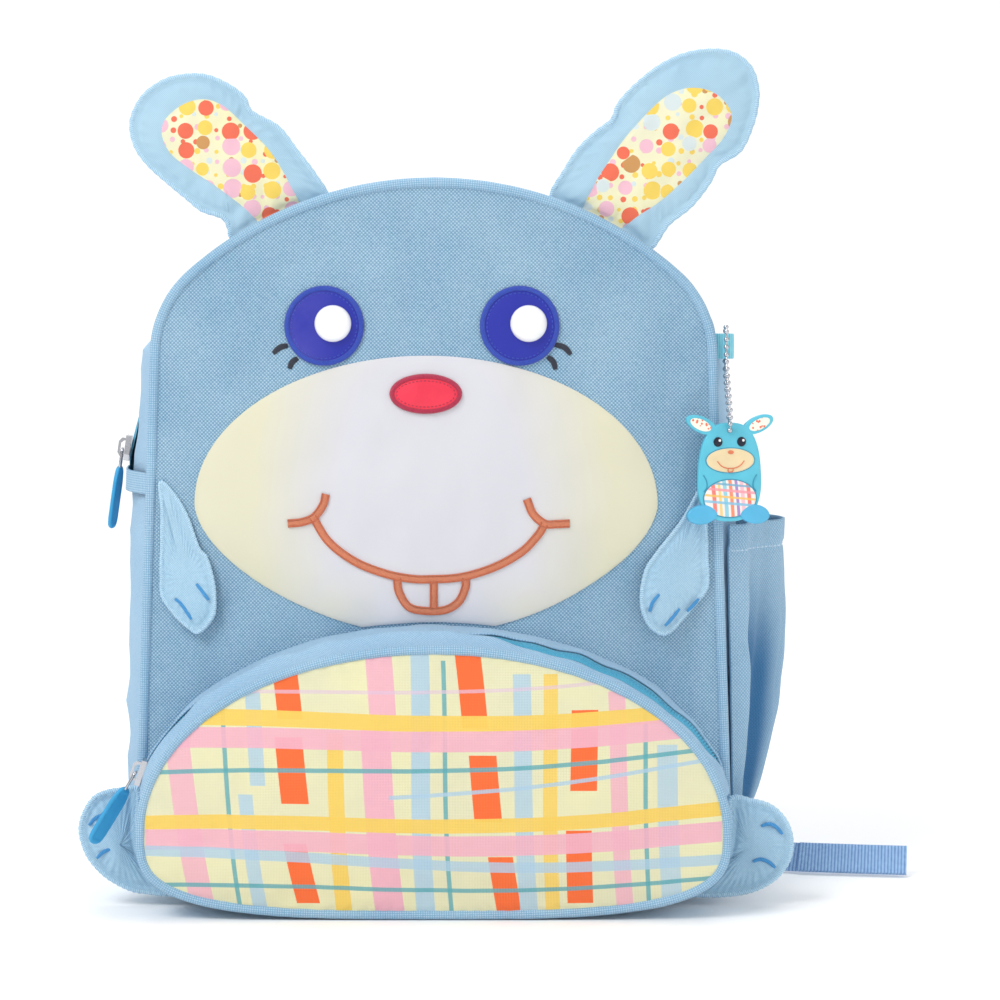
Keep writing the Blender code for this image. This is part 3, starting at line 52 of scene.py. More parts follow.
def ease(t):
    # 3t^2 - 2t^3 between 0 and 1, flat outside
    t = np.clip(t, 0, 1)
    return t * t * (3 - 2 * t)


def softNoise(x, z, size, seed, waves=14):
    # the sum of plane waves of mixed directions and lengths near the given size, about -1 to 1
    rng = np.random.default_rng(seed)
    turn, grow = rng.uniform(0, 2 * np.pi, waves), rng.uniform(0.6, 1.7, waves)
    phase = rng.uniform(0, 2 * np.pi, waves)
    k = 2 * np.pi / (size * grow)
    x, z = np.asarray(x)[..., None], np.asarray(z)[..., None]
    return np.sin(x * k * np.cos(turn) + z * k * np.sin(turn) + phase).sum(-1) / math.sqrt(waves) / 1.2


def turns(count):
    return np.arange(count) * 2 * np.pi / count


def pairs(a, b):
    # every a with every b, in rows and columns
    return np.stack(np.meshgrid(a, b, indexing="ij"), -1)


def throughPoints(p, steps=24):
    # Catmull-Rom from the second point to the last but one, with equal steps t for each pair of points:
    # (2b + (c - a)t + (2a - 5b + 4c - d)t^2 + (3b - a - 3c + d)t^3) / 2
    a, b, c, d = (p[i:len(p) - 3 + i, None, :] for i in range(4))
    t = (np.arange(steps) / steps)[None, :, None]
    curve = 0.5 * (2 * b + (c - a) * t + (2 * a - 5 * b + 4 * c - d) * t**2 + (3 * b - a - 3 * c + d) * t**3)
    return curve.reshape(-1, p.shape[1])


def mirrored(p):
    return np.concatenate([[2 * p[0] - p[1]], p, [2 * p[-1] - p[-2]]])


def closedCurve(points, count):
    # round through all the points, then spaced evenly
    p = np.asarray(points, float)
    return spaced(throughPoints(np.concatenate([p[-1:], p, p[:2]])), count, True)


def openCurve(points, count):
    # through the points with mirrored ends, then spaced evenly
    p = np.asarray(points, float)
    return spaced(np.concatenate([throughPoints(mirrored(p)), p[-1:]]), count, False)


def spaced(curve, count, closed):
    # the same line with its points at equal steps along its length
    if closed:
        curve = np.concatenate([curve, curve[:1]])
    run = lengthOf(curve)
    at = np.linspace(0, run[-1], count + 1)[:-1] if closed else np.linspace(0, run[-1], count)
    return np.stack([np.interp(at, run, curve[:, k]) for k in range(curve.shape[1])], -1)


def lengthOf(path):
    return np.concatenate([[0], np.cumsum(np.linalg.norm(np.diff(path, axis=0), axis=1))])


def stepsOf(path, closed=False):
    return np.roll(path, -1, 0) - np.roll(path, 1, 0) if closed else np.gradient(path, axis=0)


def sideOf(line, closed=False):
    # unit directions square to a flat line
    step = stepsOf(line, closed)
    return unit(np.stack([step[:, 1], -step[:, 0]], -1))


def boxOf(node):
    return (np.array(corner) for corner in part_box(node))


# meshes from whole arrays

def gridQuads(rows, cols, wrap):
    i, j = np.meshgrid(np.arange(rows - 1), np.arange(cols if wrap else cols - 1), indexing="ij")
    after, wide = (j + 1) % cols, cols + 1 if wrap else cols
    quads = np.stack([i * cols + j, i * cols + after, (i + 1) * cols + after, (i + 1) * cols + j], -1)
    corners = np.stack([i * wide + j, i * wide + j + 1, (i + 1) * wide + j + 1, (i + 1) * wide + j], -1)
    return quads.reshape(-1, 4), corners.reshape(-1, 4)


def addMesh(name, points, loops, sizes, uv, look):
    # loops lists the corners of every face in turn, sizes how many each face has, and uv has a row per corner
    mesh = bpy.data.meshes.new(name)
    for part, count, key, values in ((mesh.vertices, len(points), "co", points.astype(np.float32)),
                                     (mesh.loops, len(loops), "vertex_index", loops.astype(np.int32)),
                                     (mesh.polygons, len(sizes), "loop_start",
                                      (np.cumsum(sizes) - sizes).astype(np.int32))):
        part.add(count)
        part.foreach_set(key, values.ravel())
    mesh.uv_layers.new(name="cloth").data.foreach_set("uv", uv.astype(np.float32).ravel())
    mesh.update(calc_edges=True)
    mesh.shade_smooth()
    mesh.materials.append(look)
    piece = bpy.data.objects.new(name, mesh)
    bpy.context.scene.collection.objects.link(piece)
    return piece


def makePiece(name, grid, look, slotName, replaced=(), wrap=False, poles=(False, False), uv=None,
              inside=None, fields=None, wall=0.0, body="root", sharp=None, join=False):
    # a grid of points (rows, columns, 3) as one mesh. wrap joins the columns, join the rows, and poles close
    # the first or last row with a fan. Faces turn away from the point inside, or outwards on a closed shape.
    rows, cols, _ = grid.shape
    points = grid.reshape(-1, 3)
    if join:
        quads, corners = gridQuads(rows + 1, cols, wrap)
        quads %= rows * cols
    else:
        quads, corners = gridQuads(rows, cols, wrap)
    wide = cols + 1 if wrap else cols
    if uv is None:
        uv = pairs(np.arange(rows + 1) * 0.001, np.arange(wide) * 0.001)
    uv = uv.reshape(-1, 2)
    faces, corner = [quads], [corners]
    for end, row in zip(poles, (0, rows - 1)):
        if end:
            j = np.arange(cols if wrap else cols - 1)
            tip = np.full(len(j), len(points))
            points = np.concatenate([points, grid[row].mean(0, keepdims=True)])
            uvTip = np.full(len(j), len(uv))
            uv = np.concatenate([uv, uv[row * wide:row * wide + wide].mean(0, keepdims=True)])
            a, b = row * cols + j, row * cols + (j + 1) % cols
            ua, ub = row * wide + j, row * wide + j + 1
            first = row == 0
            faces.append(np.stack([b, a, tip] if first else [a, b, tip], -1))
            corner.append(np.stack([ub, ua, uvTip] if first else [ua, ub, uvTip], -1))
    triangles = np.concatenate([f[:, [0, 1, 2]] for f in faces] + [quads[:, [0, 2, 3]]])
    t = points[triangles] - (np.zeros(3) if inside is None else np.asarray(inside))
    if np.einsum("ij,ij->i", t[:, 0], np.cross(t[:, 1], t[:, 2])).sum() < 0:
        faces, corner = [f[:, ::-1] for f in faces], [c[:, ::-1] for c in corner]
    sizes = np.concatenate([np.full(len(f), f.shape[1]) for f in faces])
    loops, corner = (np.concatenate([f.ravel() for f in part]) for part in (faces, corner))
    piece = addMesh(name, points, loops, sizes, uv[corner], look)
    for key, values in (fields or {}).items():
        values = np.concatenate([np.asarray(values, float).ravel(), np.zeros(len(points) - rows * cols)])
        piece.data.attributes.new(key, "FLOAT", "POINT").data.foreach_set("value", values.astype(np.float32))
    if sharp:
        piece.data.set_sharp_from_angle(angle=math.radians(sharp))
    if wall:
        thick = piece.modifiers.new("wall", "SOLIDIFY")
        thick.thickness, thick.offset = wall, -1
    finishPiece(piece, slotName, replaced, body)
    return piece


def finishPiece(piece, slotName, replaced, body="root"):
    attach(piece, body)
    if replaced:
        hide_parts(*replaced)


def along(path, profile, ref, closed=False):
    # a profile of (side, up) pairs carried along a path, with up as near to the ref direction as it can be
    t = unit(stepsOf(path, closed))
    ref = np.broadcast_to(np.asarray(ref, float), path.shape)
    side = unit(np.cross(t, ref))
    up = np.cross(side, t)
    profile = np.broadcast_to(profile, (len(path),) + np.shape(profile)[-2:])
    return path[:, None] + side[:, None] * profile[..., :1] + up[:, None] * profile[..., 1:]


def ring(radius, sides, flat=1.0):
    a = turns(sides)
    return np.stack([radius * np.cos(a), radius * flat * np.sin(a)], -1)


def cordUv(path, sides, radius):
    # length along the path and distance round the section
    run = lengthOf(path)
    run = np.append(run, run[-1] + (run[-1] - run[-2]))
    return pairs(run, np.arange(sides + 1) * 2 * np.pi * radius / sides)


# materials, one call to add a node

def rgb(r, g, b):
    return ((r / 255) ** 2.2, (g / 255) ** 2.2, (b / 255) ** 2.2, 1.0)


class Look:
    def __init__(self, name, rough=0.8, metal=0.0, sheen=0.0, coat=0.0):
        self.material = bpy.data.materials.new(name)
        self.material.use_nodes = True
        self.tree = self.material.node_tree
        self.shader = self.tree.nodes["Principled BSDF"]
        for key, value in (("Roughness", rough), ("Metallic", metal), ("Sheen Weight", sheen),
                           ("Coat Weight", coat), ("Specular IOR Level", 0.35)):
            self.shader.inputs[key].default_value = value

    def node(self, kind, *inputs, out=0, **settings):
        made = self.tree.nodes.new("ShaderNode" + kind)
        for key, value in settings.items():
            setattr(made, key, value)
        for socket, value in zip(made.inputs, inputs):
            self.feed(socket, value)
        return made.outputs[out]

    def feed(self, socket, value):
        if isinstance(value, bpy.types.NodeSocket):
            self.tree.links.new(value, socket)
        elif value is not None:
            socket.default_value = value

    def math(self, operation, *values):
        return self.node("Math", *values, operation=operation)

    def mix(self, share, a, b):
        made = self.tree.nodes.new("ShaderNodeMix")
        made.data_type = "RGBA"
        for index, value in ((0, share), (6, a), (7, b)):
            self.feed(made.inputs[index], value)
        return made.outputs[2]

    def noise(self, scale, detail=3.0, where=None):
        made = self.tree.nodes.new("ShaderNodeTexNoise")
        self.feed(made.inputs["Vector"], where or self.place())
        made.inputs["Scale"].default_value, made.inputs["Detail"].default_value = scale, detail
        return made.outputs[0]

    def span(self, value, a, b, c=0.0, d=1.0):
        # the range a to b turned into c to d, held at its ends
        return self.node("MapRange", value, a, b, c, d)

    def drift(self, scale, low=0.0, high=1.0, detail=3.0):
        # noise spread over the range low to high
        return self.span(self.noise(scale, detail), 0.3, 0.7, low, high)

    def ripple(self, value, pitch):
        # |sin(pi value / pitch)|
        return self.math("ABSOLUTE", self.math("SINE", self.math("MULTIPLY", value, math.pi / pitch)))

    def cells(self, where, scale, flat=False):
        # scattered cells: the distance to the nearest middle, and a colour for each
        made = self.tree.nodes.new("ShaderNodeTexVoronoi")
        if flat:
            made.voronoi_dimensions, made.inputs["Randomness"].default_value = "2D", 0.50
        self.feed(made.inputs["Vector"], where)
        made.inputs["Scale"].default_value = scale
        return made.outputs["Distance"], made.outputs["Color"]

    def place(self):
        return self.node("TexCoord", out=3)

    def cloth(self):
        return self.node("UVMap", uv_map="cloth")

    def axes(self, vector):
        made = self.tree.nodes.new("ShaderNodeSeparateXYZ")
        self.feed(made.inputs[0], vector)
        return made.outputs

    def threads(self, pitch, uv=None, turn=0.0):
        # plain weave: the product of two sines, whose sign says which thread is on top
        u, v, _ = self.axes(uv or self.cloth())
        if turn:
            c, s = math.cos(turn), math.sin(turn)
            u, v = (self.math("MULTIPLY_ADD", u, c, self.math("MULTIPLY", v, s)),
                    self.math("MULTIPLY_ADD", v, c, self.math("MULTIPLY", u, -s)))
        a = self.math("SINE", self.math("MULTIPLY", u, 2 * math.pi / pitch))
        b = self.math("SINE", self.math("MULTIPLY", v, 2 * math.pi / pitch))
        both = self.math("MULTIPLY", a, b)
        return both, self.math("POWER", self.math("ABSOLUTE", both), 0.5)

    def bump(self, height, depth, strength=1.0, onto=None):
        made = self.tree.nodes.new("ShaderNodeBump")
        made.inputs["Strength"].default_value = strength
        made.inputs["Distance"].default_value = depth
        self.feed(made.inputs["Height"], height)
        if onto is not None:
            self.feed(made.inputs["Normal"], onto)
        return made.outputs[0]

    def done(self, colour, normal=None, rough=None):
        self.feed(self.shader.inputs["Base Color"], colour)
        if normal is not None:
            self.feed(self.shader.inputs["Normal"], normal)
        if rough is not None:
            self.feed(self.shader.inputs["Roughness"], rough)
        return self.material


def wovenLook(name, low, high, pitch, depth, rough=0.85, sheen=0.15, turn=0.0, contrast=0.5, patchy=0.10,
              deep=None):
    # two tones of thread by the weave's sign, painted shade between threads, with soft patches of wear and
    # dye
    look = Look(name, rough, sheen=sheen)
    both, height = look.threads(pitch, turn=turn)
    tone = look.span(both, -contrast, contrast, 0.15, 0.85)
    # painted shade: the tone is pulled down in the gaps between threads
    tone = look.math("MULTIPLY", tone, look.span(height, 0.0, 0.75, 0.35, 1.0))
    tone = look.math("ADD", tone, look.drift(24.0, -patchy, patchy, 4.0))
    tone = look.math("ADD", tone, look.drift(900.0, -0.12, 0.12, 2.0))
    colour = look.mix(tone, low, high)
    if deep:
        # painted shade: a dark saturated blue mixed in by the attribute deep, standing in for the shade in
        # the bottom of a fold
        colour = look.mix(look.node("Attribute", attribute_name="deep", out=2), colour, deep)
    fuzz = look.noise(1600.0, 2.0)
    normal = look.bump(fuzz, depth * 0.35, 0.5, look.bump(height, depth, 0.9))
    return look.done(colour, normal)


bodyBlue = dict(low=rgb(104, 153, 190), high=rgb(190, 219, 235), pitch=0.0017, depth=0.00035)
bodyCloth = wovenLook("body cloth", **bodyBlue)
bindCloth = wovenLook("binding cloth", rgb(118, 167, 203), rgb(186, 215, 234), 0.0015, 0.00022, turn=0.8)
flapCloth = wovenLook("flap cloth", rgb(142, 186, 215), rgb(190, 219, 235), 0.0011, 0.00012, contrast=0.8)
sideCloth = wovenLook("side cloth", rgb(130, 175, 210), rgb(184, 213, 234), 0.0013, 0.00016, contrast=0.7)
backCloth = wovenLook("back mesh", rgb(84, 128, 172), rgb(150, 190, 220), 0.0030, 0.0006)
strapCloth = wovenLook("strap cloth", rgb(90, 138, 184), rgb(164, 202, 230), 0.0021, 0.00035)
tapeCloth = wovenLook("zip tape", rgb(56, 146, 186), rgb(104, 190, 220), 0.0008, 0.0001)


def ribbedLook(name, low, high, pitch, depth):
    # webbing: ribs across the band, broken into slanting stitches along each rib
    look = Look(name, 0.7, sheen=0.2)
    u, v, _ = look.axes(look.cloth())
    warp = look.ripple(look.math("MULTIPLY_ADD", u, 1.2, v), pitch * 0.7)
    height = look.math("MULTIPLY", look.ripple(u, pitch), look.span(warp, 0.0, 1.0, 0.55, 1.0))
    # painted shade: the low colour in the grooves between ribs, the high one on their crests
    colour = look.mix(look.math("ADD", height, look.drift(700.0, -0.15, 0.15)), low, high)
    return look.done(colour, look.bump(height, depth))


webbingLook = ribbedLook("ribbed webbing", rgb(96, 134, 190), rgb(166, 202, 238), 0.0016, 0.0003)


def stitchLook(name, low, high, pitch=0.0006, depth=0.00025):
    # satin stitch: threads side by side along the run, which the piece's UV gives
    look = Look(name, 0.55, sheen=0.3)
    u, v, _ = look.axes(look.cloth())
    thread = look.ripple(look.math("MULTIPLY_ADD", v, 0.25, u), pitch)
    # painted shade: darker in the grooves between threads, lighter on their crests
    tone = look.math("MULTIPLY_ADD", look.noise(900.0), 0.5, look.math("MULTIPLY", thread, 0.75))
    return look.done(look.mix(tone, low, high), look.bump(thread, depth))


def plainLook(name, colour, rough, metal=0.0, coat=0.0, grain=0.00004, scale=1500.0):
    # moulded plastic, rubber or plated metal: a fine grain, and tone and gloss that drift a little
    look = Look(name, rough, metal, coat=coat)
    drift = look.noise(90.0)
    tint = look.mix(look.span(drift, 0.3, 0.7), tuple(c * 0.9 for c in colour[:3]) + (1.0,), colour)
    shine = look.span(drift, 0.3, 0.7, rough * 0.85, min(1.0, rough * 1.15))
    return look.done(tint, look.bump(look.noise(scale, 2.0), grain), shine)


mergeThread = stitchLook("overlock thread", rgb(120, 182, 226), rgb(196, 228, 246), 0.0009, 0.0003)
blueThread = stitchLook("blue thread", rgb(34, 116, 190), rgb(78, 162, 222), 0.0007)
bodyThread = stitchLook("body thread", rgb(128, 174, 212), rgb(206, 228, 244), 0.0022, 0.0003)
smileThread = stitchLook("smile thread", rgb(196, 88, 48), rgb(246, 154, 116), 0.0005, 0.0003)
smileEdge = stitchLook("smile edge thread", rgb(170, 70, 36), rgb(228, 124, 84), 0.0006, 0.0003)
lashThread = stitchLook("lash thread", rgb(16, 18, 24), rgb(52, 58, 74), 0.0005)
eyeThread = stitchLook("eye rim thread", rgb(18, 40, 140), rgb(52, 84, 196), 0.0006)
noseThread = stitchLook("nose rim thread", rgb(140, 14, 48), rgb(198, 50, 84), 0.0006)
nickel = plainLook("nickel", rgb(196, 198, 204), 0.24, metal=1.0, grain=0.00002, scale=700.0)
pullRubber = plainLook("pull rubber", rgb(62, 160, 212), 0.5)
whiteDome = plainLook("white dome", rgb(250, 250, 250), 0.22, coat=0.6)
lockPlastic = plainLook("lock plastic", rgb(95, 150, 205), 0.42)
noseVinyl = plainLook("nose vinyl", rgb(238, 62, 84), 0.42, grain=0.0001, scale=900.0)
charmBlue = plainLook("charm blue", rgb(96, 196, 220), 0.42, coat=0.2)
charmFoot = plainLook("charm foot blue", rgb(88, 182, 224), 0.4, coat=0.2)
charmTan = plainLook("charm tan", rgb(238, 216, 172), 0.5)
charmInk = plainLook("charm ink", rgb(34, 40, 56), 0.35)
charmEdge = plainLook("charm edge", rgb(62, 150, 180), 0.45)
charmCoral = plainLook("charm coral", rgb(226, 128, 92), 0.45)


def eyeVinylLook():
    # navy vinyl with painted light, a soft lighter violet, towards the outer left of the face
    look = Look("eye vinyl", 0.38, coat=0.15)
    x, _, z = look.axes(look.place())
    # painted light: a soft violet lightening in patches on the outer left of the left eye, the side the light
    # falls on
    paintedLight = look.math("MULTIPLY", look.span(x, -0.045, -0.066, 0.0, 0.75),
                      look.span(look.noise(40.0), 0.25, 0.75))
    colour = look.mix(paintedLight, rgb(44, 52, 160), rgb(108, 100, 186))
    return look.done(colour, look.bump(look.noise(1100.0, 3.0), 0.00008))


def muzzleLook():
    # smooth printed cloth: lavender white in the middle, cream at the sides and faintly along the lower edge
    look = Look("muzzle cloth", 0.75, sheen=0.1)
    x, _, z = look.axes(look.place())
    x = look.math("ADD", x, look.span(look.noise(30.0, 2.0), 0.0, 1.0, -0.008, 0.008))
    away = look.math("ABSOLUTE", look.math("ADD", x, 0.002))
    wide, tall = look.math("DIVIDE", away, 0.066), look.math("DIVIDE", look.math("SUBTRACT", z, 0.184), 0.110)
    reach = look.math("ADD", look.math("MULTIPLY", wide, wide), look.math("MULTIPLY", tall, tall))
    side = look.span(look.math("SQRT", reach), 0.66, 1.24)
    low = look.math("MULTIPLY", look.span(z, 0.158, 0.140), look.span(away, 0.020, 0.045))
    cream = look.math("MAXIMUM", side, look.math("MULTIPLY", low, 0.55))
    _, height = look.threads(0.0008)
    colour = look.mix(cream, rgb(213, 213, 220), rgb(220, 217, 190))
    # painted shade: grey mixed into the gaps between threads
    colour = look.mix(look.span(height, 0.0, 0.6, 0.10, 0.0), colour, rgb(170, 170, 176))
    return look.done(colour, look.bump(height, 0.00007, 0.8))


eyeVinyl = eyeVinylLook()
muzzleCloth = muzzleLook()

# bands of the printed check: (runs, centre, half width, slope, colour, strength, from, to), in millimetres,
# where an upright band's centre is its x at level 60 and a level band's centre is its z at the middle
plaid = dict(ground=rgb(236, 232, 186), cream=rgb(228, 226, 190), bands=(
    ("up", -112, 5.5, 0.16, "pink", 0.85, 4, 84), ("up", -92, 1.0, 0.10, "teal", 0.85, 4, 96),
    ("up", -84, 3.2, 0.12, "sky", 0.80, 4, 58), ("up", -78, 3.4, 0.10, "sky", 0.80, 62, 104),
    ("up", -62, 6.2, 0.14, "orange", 1.0, 54, 84), ("up", -60, 5.6, 0.15, "orange", 1.0, 92, 120),
    ("up", -66, 5.2, 0.20, "orange", 1.0, 8, 36), ("up", -43, 3.6, 0.06, "yellow", 0.95, 4, 86),
    ("up", -24, 6.6, 0.09, "pink", 0.95, 4, 88), ("up", -20, 6.0, 0.10, "pink", 0.90, 94, 122),
    ("up", -5, 4.2, 0.04, "sky", 0.85, 4, 124), ("up", 6, 1.0, 0.05, "teal", 0.85, 4, 118),
    ("up", 24, 6.2, 0.12, "orange", 1.0, 46, 76), ("up", 22, 5.8, 0.13, "orange", 1.0, 88, 122),
    ("up", 27, 5.6, 0.14, "orange", 1.0, 4, 30), ("up", 41, 4.0, 0.05, "sky", 0.80, 4, 112),
    ("up", 53, 3.2, 0.03, "yellow", 0.90, 4, 112), ("up", 68, 6.0, 0.02, "orange", 1.0, 60, 96),
    ("up", 66, 5.8, 0.02, "orange", 1.0, 8, 42), ("up", 84, 3.8, 0.06, "pink", 0.85, 4, 104),
    ("up", 96, 1.0, 0.04, "teal", 0.85, 4, 94), ("up", 106, 4.6, 0.05, "sky", 0.75, 4, 80),
    ("flat", 92, 3.6, 0.02, "yellow", 0.95, -130, 130), ("flat", 84, 4.6, 0.03, "pink", 0.90, -130, 130),
    ("flat", 46, 3.2, 0.03, "yellow", 0.95, -130, 130), ("flat", 37, 4.6, 0.02, "pink", 0.90, -130, 130),
    ("flat", 28, 2.4, -0.01, "sky", 0.80, -130, 130), ("flat", 71, 1.0, 0.05, "teal", 0.85, -130, 130),
    ("flat", 60, 0.9, 0.10, "sky", 0.8, -20, 130), ("flat", 16, 1.0, 0.02, "teal", 0.85, -130, 130),
    ("flat", 106, 0.8, 0.05, "lilac", 0.6, -100, 100)),
    inks=dict(pink=rgb(243, 178, 196), teal=rgb(86, 170, 180), sky=rgb(172, 206, 228),
              orange=rgb(252, 112, 58), yellow=rgb(247, 208, 96), lilac=rgb(226, 196, 220)))


def printLook():
    # a band covers the ground where the distance to its sloping, slightly wavy middle is under its half width
    look = Look("printed check", 0.82, sheen=0.1)
    x, _, z = look.axes(look.place())
    x, z = (look.math("MULTIPLY", value, 1000.0) for value in (x, z))
    waveZ = look.math("MULTIPLY", look.math("SINE", look.math("MULTIPLY_ADD", x, 0.021, 0.8)), 2.6)
    waveX = look.math("MULTIPLY", look.math("SINE", look.math("MULTIPLY_ADD", z, 0.035, 0.4)), 1.2)
    z2, x2 = look.math("ADD", z, waveZ), look.math("ADD", x, waveX)
    colour = look.mix(look.span(look.noise(26.0), 0.35, 0.65), plaid["ground"], plaid["cream"])
    for runs, centre, half, slope, ink, strength, start, end in plaid["bands"]:
        if runs == "up":
            main, other, slope, centre = x2, z, -slope, centre + 60 * slope
        else:
            main, other = z2, x
        middle = look.math("MULTIPLY_ADD", other, slope, centre)
        mask = look.math("COMPARE", main, middle, half)
        within = look.math("COMPARE", other, (start + end) / 2, (end - start) / 2)
        mask = look.math("MULTIPLY", look.math("MULTIPLY", mask, within), strength)
        colour = look.mix(mask, colour, plaid["inks"][ink])
    _, height = look.threads(0.0014)
    # painted shade: brownish grey mixed into the gaps between threads
    colour = look.mix(look.span(height, 0.0, 0.6, 0.16, 0.0), colour, rgb(150, 140, 120))
    return look.done(colour, look.bump(height, 0.00018, 0.9))


printCloth = printLook()


def earLook():
    # flap cloth, with a cream print where the attribute inner is over 0, and round dots of mixed sizes on it
    look = Look("ear cloth", 0.82, sheen=0.15)
    both, height = look.threads(0.0010)
    tone = look.math("ADD", look.span(both, -0.8, 0.8, 0.2, 0.8), look.drift(24.0, -0.12, 0.12))
    blue = look.mix(tone, rgb(146, 190, 217), rgb(192, 221, 236))
    colour = look.mix(look.drift(30.0), rgb(244, 238, 190), rgb(238, 236, 206))
    x, _, z = look.axes(look.place())
    flat = look.node("CombineXYZ", x, z, 0.0)
    for scale, shift, least, most in ((190.0, 0.31, 0.16, 0.28), (104.0, 0.0, 0.30, 0.46)):
        where = look.node("VectorMath", flat, (shift, shift * 0.6, 0.0), operation="ADD")
        distance, mixed = look.cells(where, scale, flat=True)
        size, kind, _ = look.axes(mixed)
        mask = look.math("LESS_THAN", distance, look.span(size, 0.0, 1.0, least, most))
        ramp = look.tree.nodes.new("ShaderNodeValToRGB")
        ramp.color_ramp.interpolation = "CONSTANT"
        stops = ((0.0, rgb(240, 112, 84)), (0.26, rgb(247, 212, 96)), (0.56, rgb(242, 190, 206)),
                 (0.80, rgb(216, 228, 228)), (0.93, rgb(206, 150, 90)))
        for index, (at, ink) in enumerate(stops):
            stop = ramp.color_ramp.elements[index] if index < 2 else ramp.color_ramp.elements.new(at)
            stop.position, stop.color = at, ink
        look.feed(ramp.inputs[0], kind)
        colour = look.mix(mask, colour, ramp.outputs[0])
    inner = look.node("Attribute", attribute_name="inner", out=2)
    colour = look.mix(look.math("GREATER_THAN", inner, 0.0), blue, colour)
    # painted shade: grey blue mixed into the gaps between threads
    colour = look.mix(look.span(height, 0.0, 0.6, 0.12, 0.0), colour, rgb(120, 150, 170))
    return look.done(colour, look.bump(height, 0.00012, 0.9))


earCloth = earLook()
print("materials made")


# camera, lights and a pale floor that curves up into the backdrop

view = dict(place=(0.0, -1.550, 0.295), down=4.1, lens=117.86, shift=0.0665)
light = dict(world=0.55, key=32.0, fill=9.0, top=13.0, wall=16.0)


def setStage():
    # the backdrop is a quarter circle of radius 0.8 between a level floor and an upright wall
    turn = np.linspace(0, np.pi / 2, 14)
    side = np.concatenate([[(-2.6, 0.0)], np.stack([1.6 + 0.8 * np.sin(turn), 0.8 - 0.8 * np.cos(turn)], -1),
                           [(2.4, 3.2)]])
    grid = np.stack([np.broadcast_to(x, len(side)) * 1.0 for x in (-3.5, 3.5)])
    grid = np.stack([grid, *(np.broadcast_to(side[:, axis], grid.shape) for axis in (0, 1))], -1)
    look = Look("pale floor", 0.9)
    tone = look.mix(look.drift(3.0), rgb(250, 250, 250), rgb(253, 253, 253))
    look.done(tone, look.bump(look.noise(240.0), 0.0001, 0.2))
    mesh = bpy.data.meshes.new("floor")
    quads, _ = gridQuads(2, grid.shape[1], False)
    mesh.from_pydata(grid.reshape(-1, 3).tolist(), [], quads.tolist())
    mesh.shade_smooth()
    mesh.materials.append(look.material)
    floor = bpy.data.objects.new("floor", mesh)
    bpy.context.scene.collection.objects.link(floor)
    world = bpy.data.worlds.new("soft light")
    world.use_nodes = True
    colour, strength = world.node_tree.nodes["Background"].inputs[:2]
    colour.default_value, strength.default_value = (1.0, 1.0, 1.0, 1.0), light["world"]
    bpy.context.scene.world = world
    for name, power, size, place, aim in (
            ("key", light["key"], 1.1, (-1.2, -1.35, 1.9), (0, 0, 0.16)),
            ("wall", light["wall"], 2.4, (0, 0.9, 2.7), (0, 2.4, 0.7)),
            ("fill", light["fill"], 1.8, (1.7, -1.3, 0.9), (0, 0, 0.16)),
            ("top", light["top"], 1.6, (0.1, 0.5, 2.1), (0, 0, 0.2))):
        lamp = bpy.data.lights.new(name, "AREA")
        lamp.energy, lamp.size = power, size
        shone = bpy.data.objects.new(name, lamp)
        shone.location = place
        aimed = (np.array(place) - np.array(aim)).tolist()
        shone.rotation_euler = (math.atan2(math.hypot(aimed[0], aimed[1]), aimed[2]), 0,
                                math.atan2(aimed[1], aimed[0]) + math.pi / 2)
        bpy.context.scene.collection.objects.link(shone)
    lens = bpy.data.cameras.new("camera")
    lens.lens, lens.sensor_width, lens.shift_x = view["lens"], 36.0, view["shift"]
    camera = bpy.data.objects.new("camera", lens)
    camera.location = view["place"]
    camera.rotation_euler = (math.radians(90 - view["down"]), 0, 0)
    bpy.context.scene.collection.objects.link(camera)
    bpy.context.scene.camera = camera
    bpy.context.scene.view_settings.view_transform = "Standard"


setStage()
print("stage set")


# the bag's outline: a flat base, corner arcs, leaning sides, shoulder arcs and a top arc, each tangent to
# the next. A fold is its middle, its turn in degrees, its length and width, and its depth

bag = dict(half=0.1355, upper=0.1278, upperLevel=0.250, height=0.335, depth=0.100, corner=0.035,
           shoulder=0.050, arch=0.168, cord=0.0024, lift=0.0002, bulge=0.013, backBulge=0.006, zipWidth=0.018,
           crossSeam=0.195, front=-0.050, back=0.050, skin=0.0008, rim=0.0017, folds=(
               (-0.0745, 0.1407, -30, 0.046, 0.016, 0.0036), (0.0894, 0.1240, -65, 0.044, 0.015, 0.0038),
               (0.1125, 0.1005, 90, 0.036, 0.010, 0.0028), (-0.1084, 0.2864, 45, 0.020, 0.010, 0.0030),
               (0.1111, 0.2848, -45, 0.018, 0.011, 0.0018), (0.0990, 0.1000, 82, 0.040, 0.0055, 0.0015),
               (0.1180, 0.1300, 88, 0.050, 0.0050, 0.0014), (-0.1010, 0.1150, 100, 0.036, 0.0060, 0.0014),
               (-0.1150, 0.2050, 85, 0.040, 0.0060, 0.0008), (0.0550, 0.3120, 20, 0.030, 0.008, 0.0008),
               (-0.0300, 0.3140, -12, 0.028, 0.007, 0.0007), (0.1090, 0.2350, 95, 0.030, 0.006, 0.0008)))


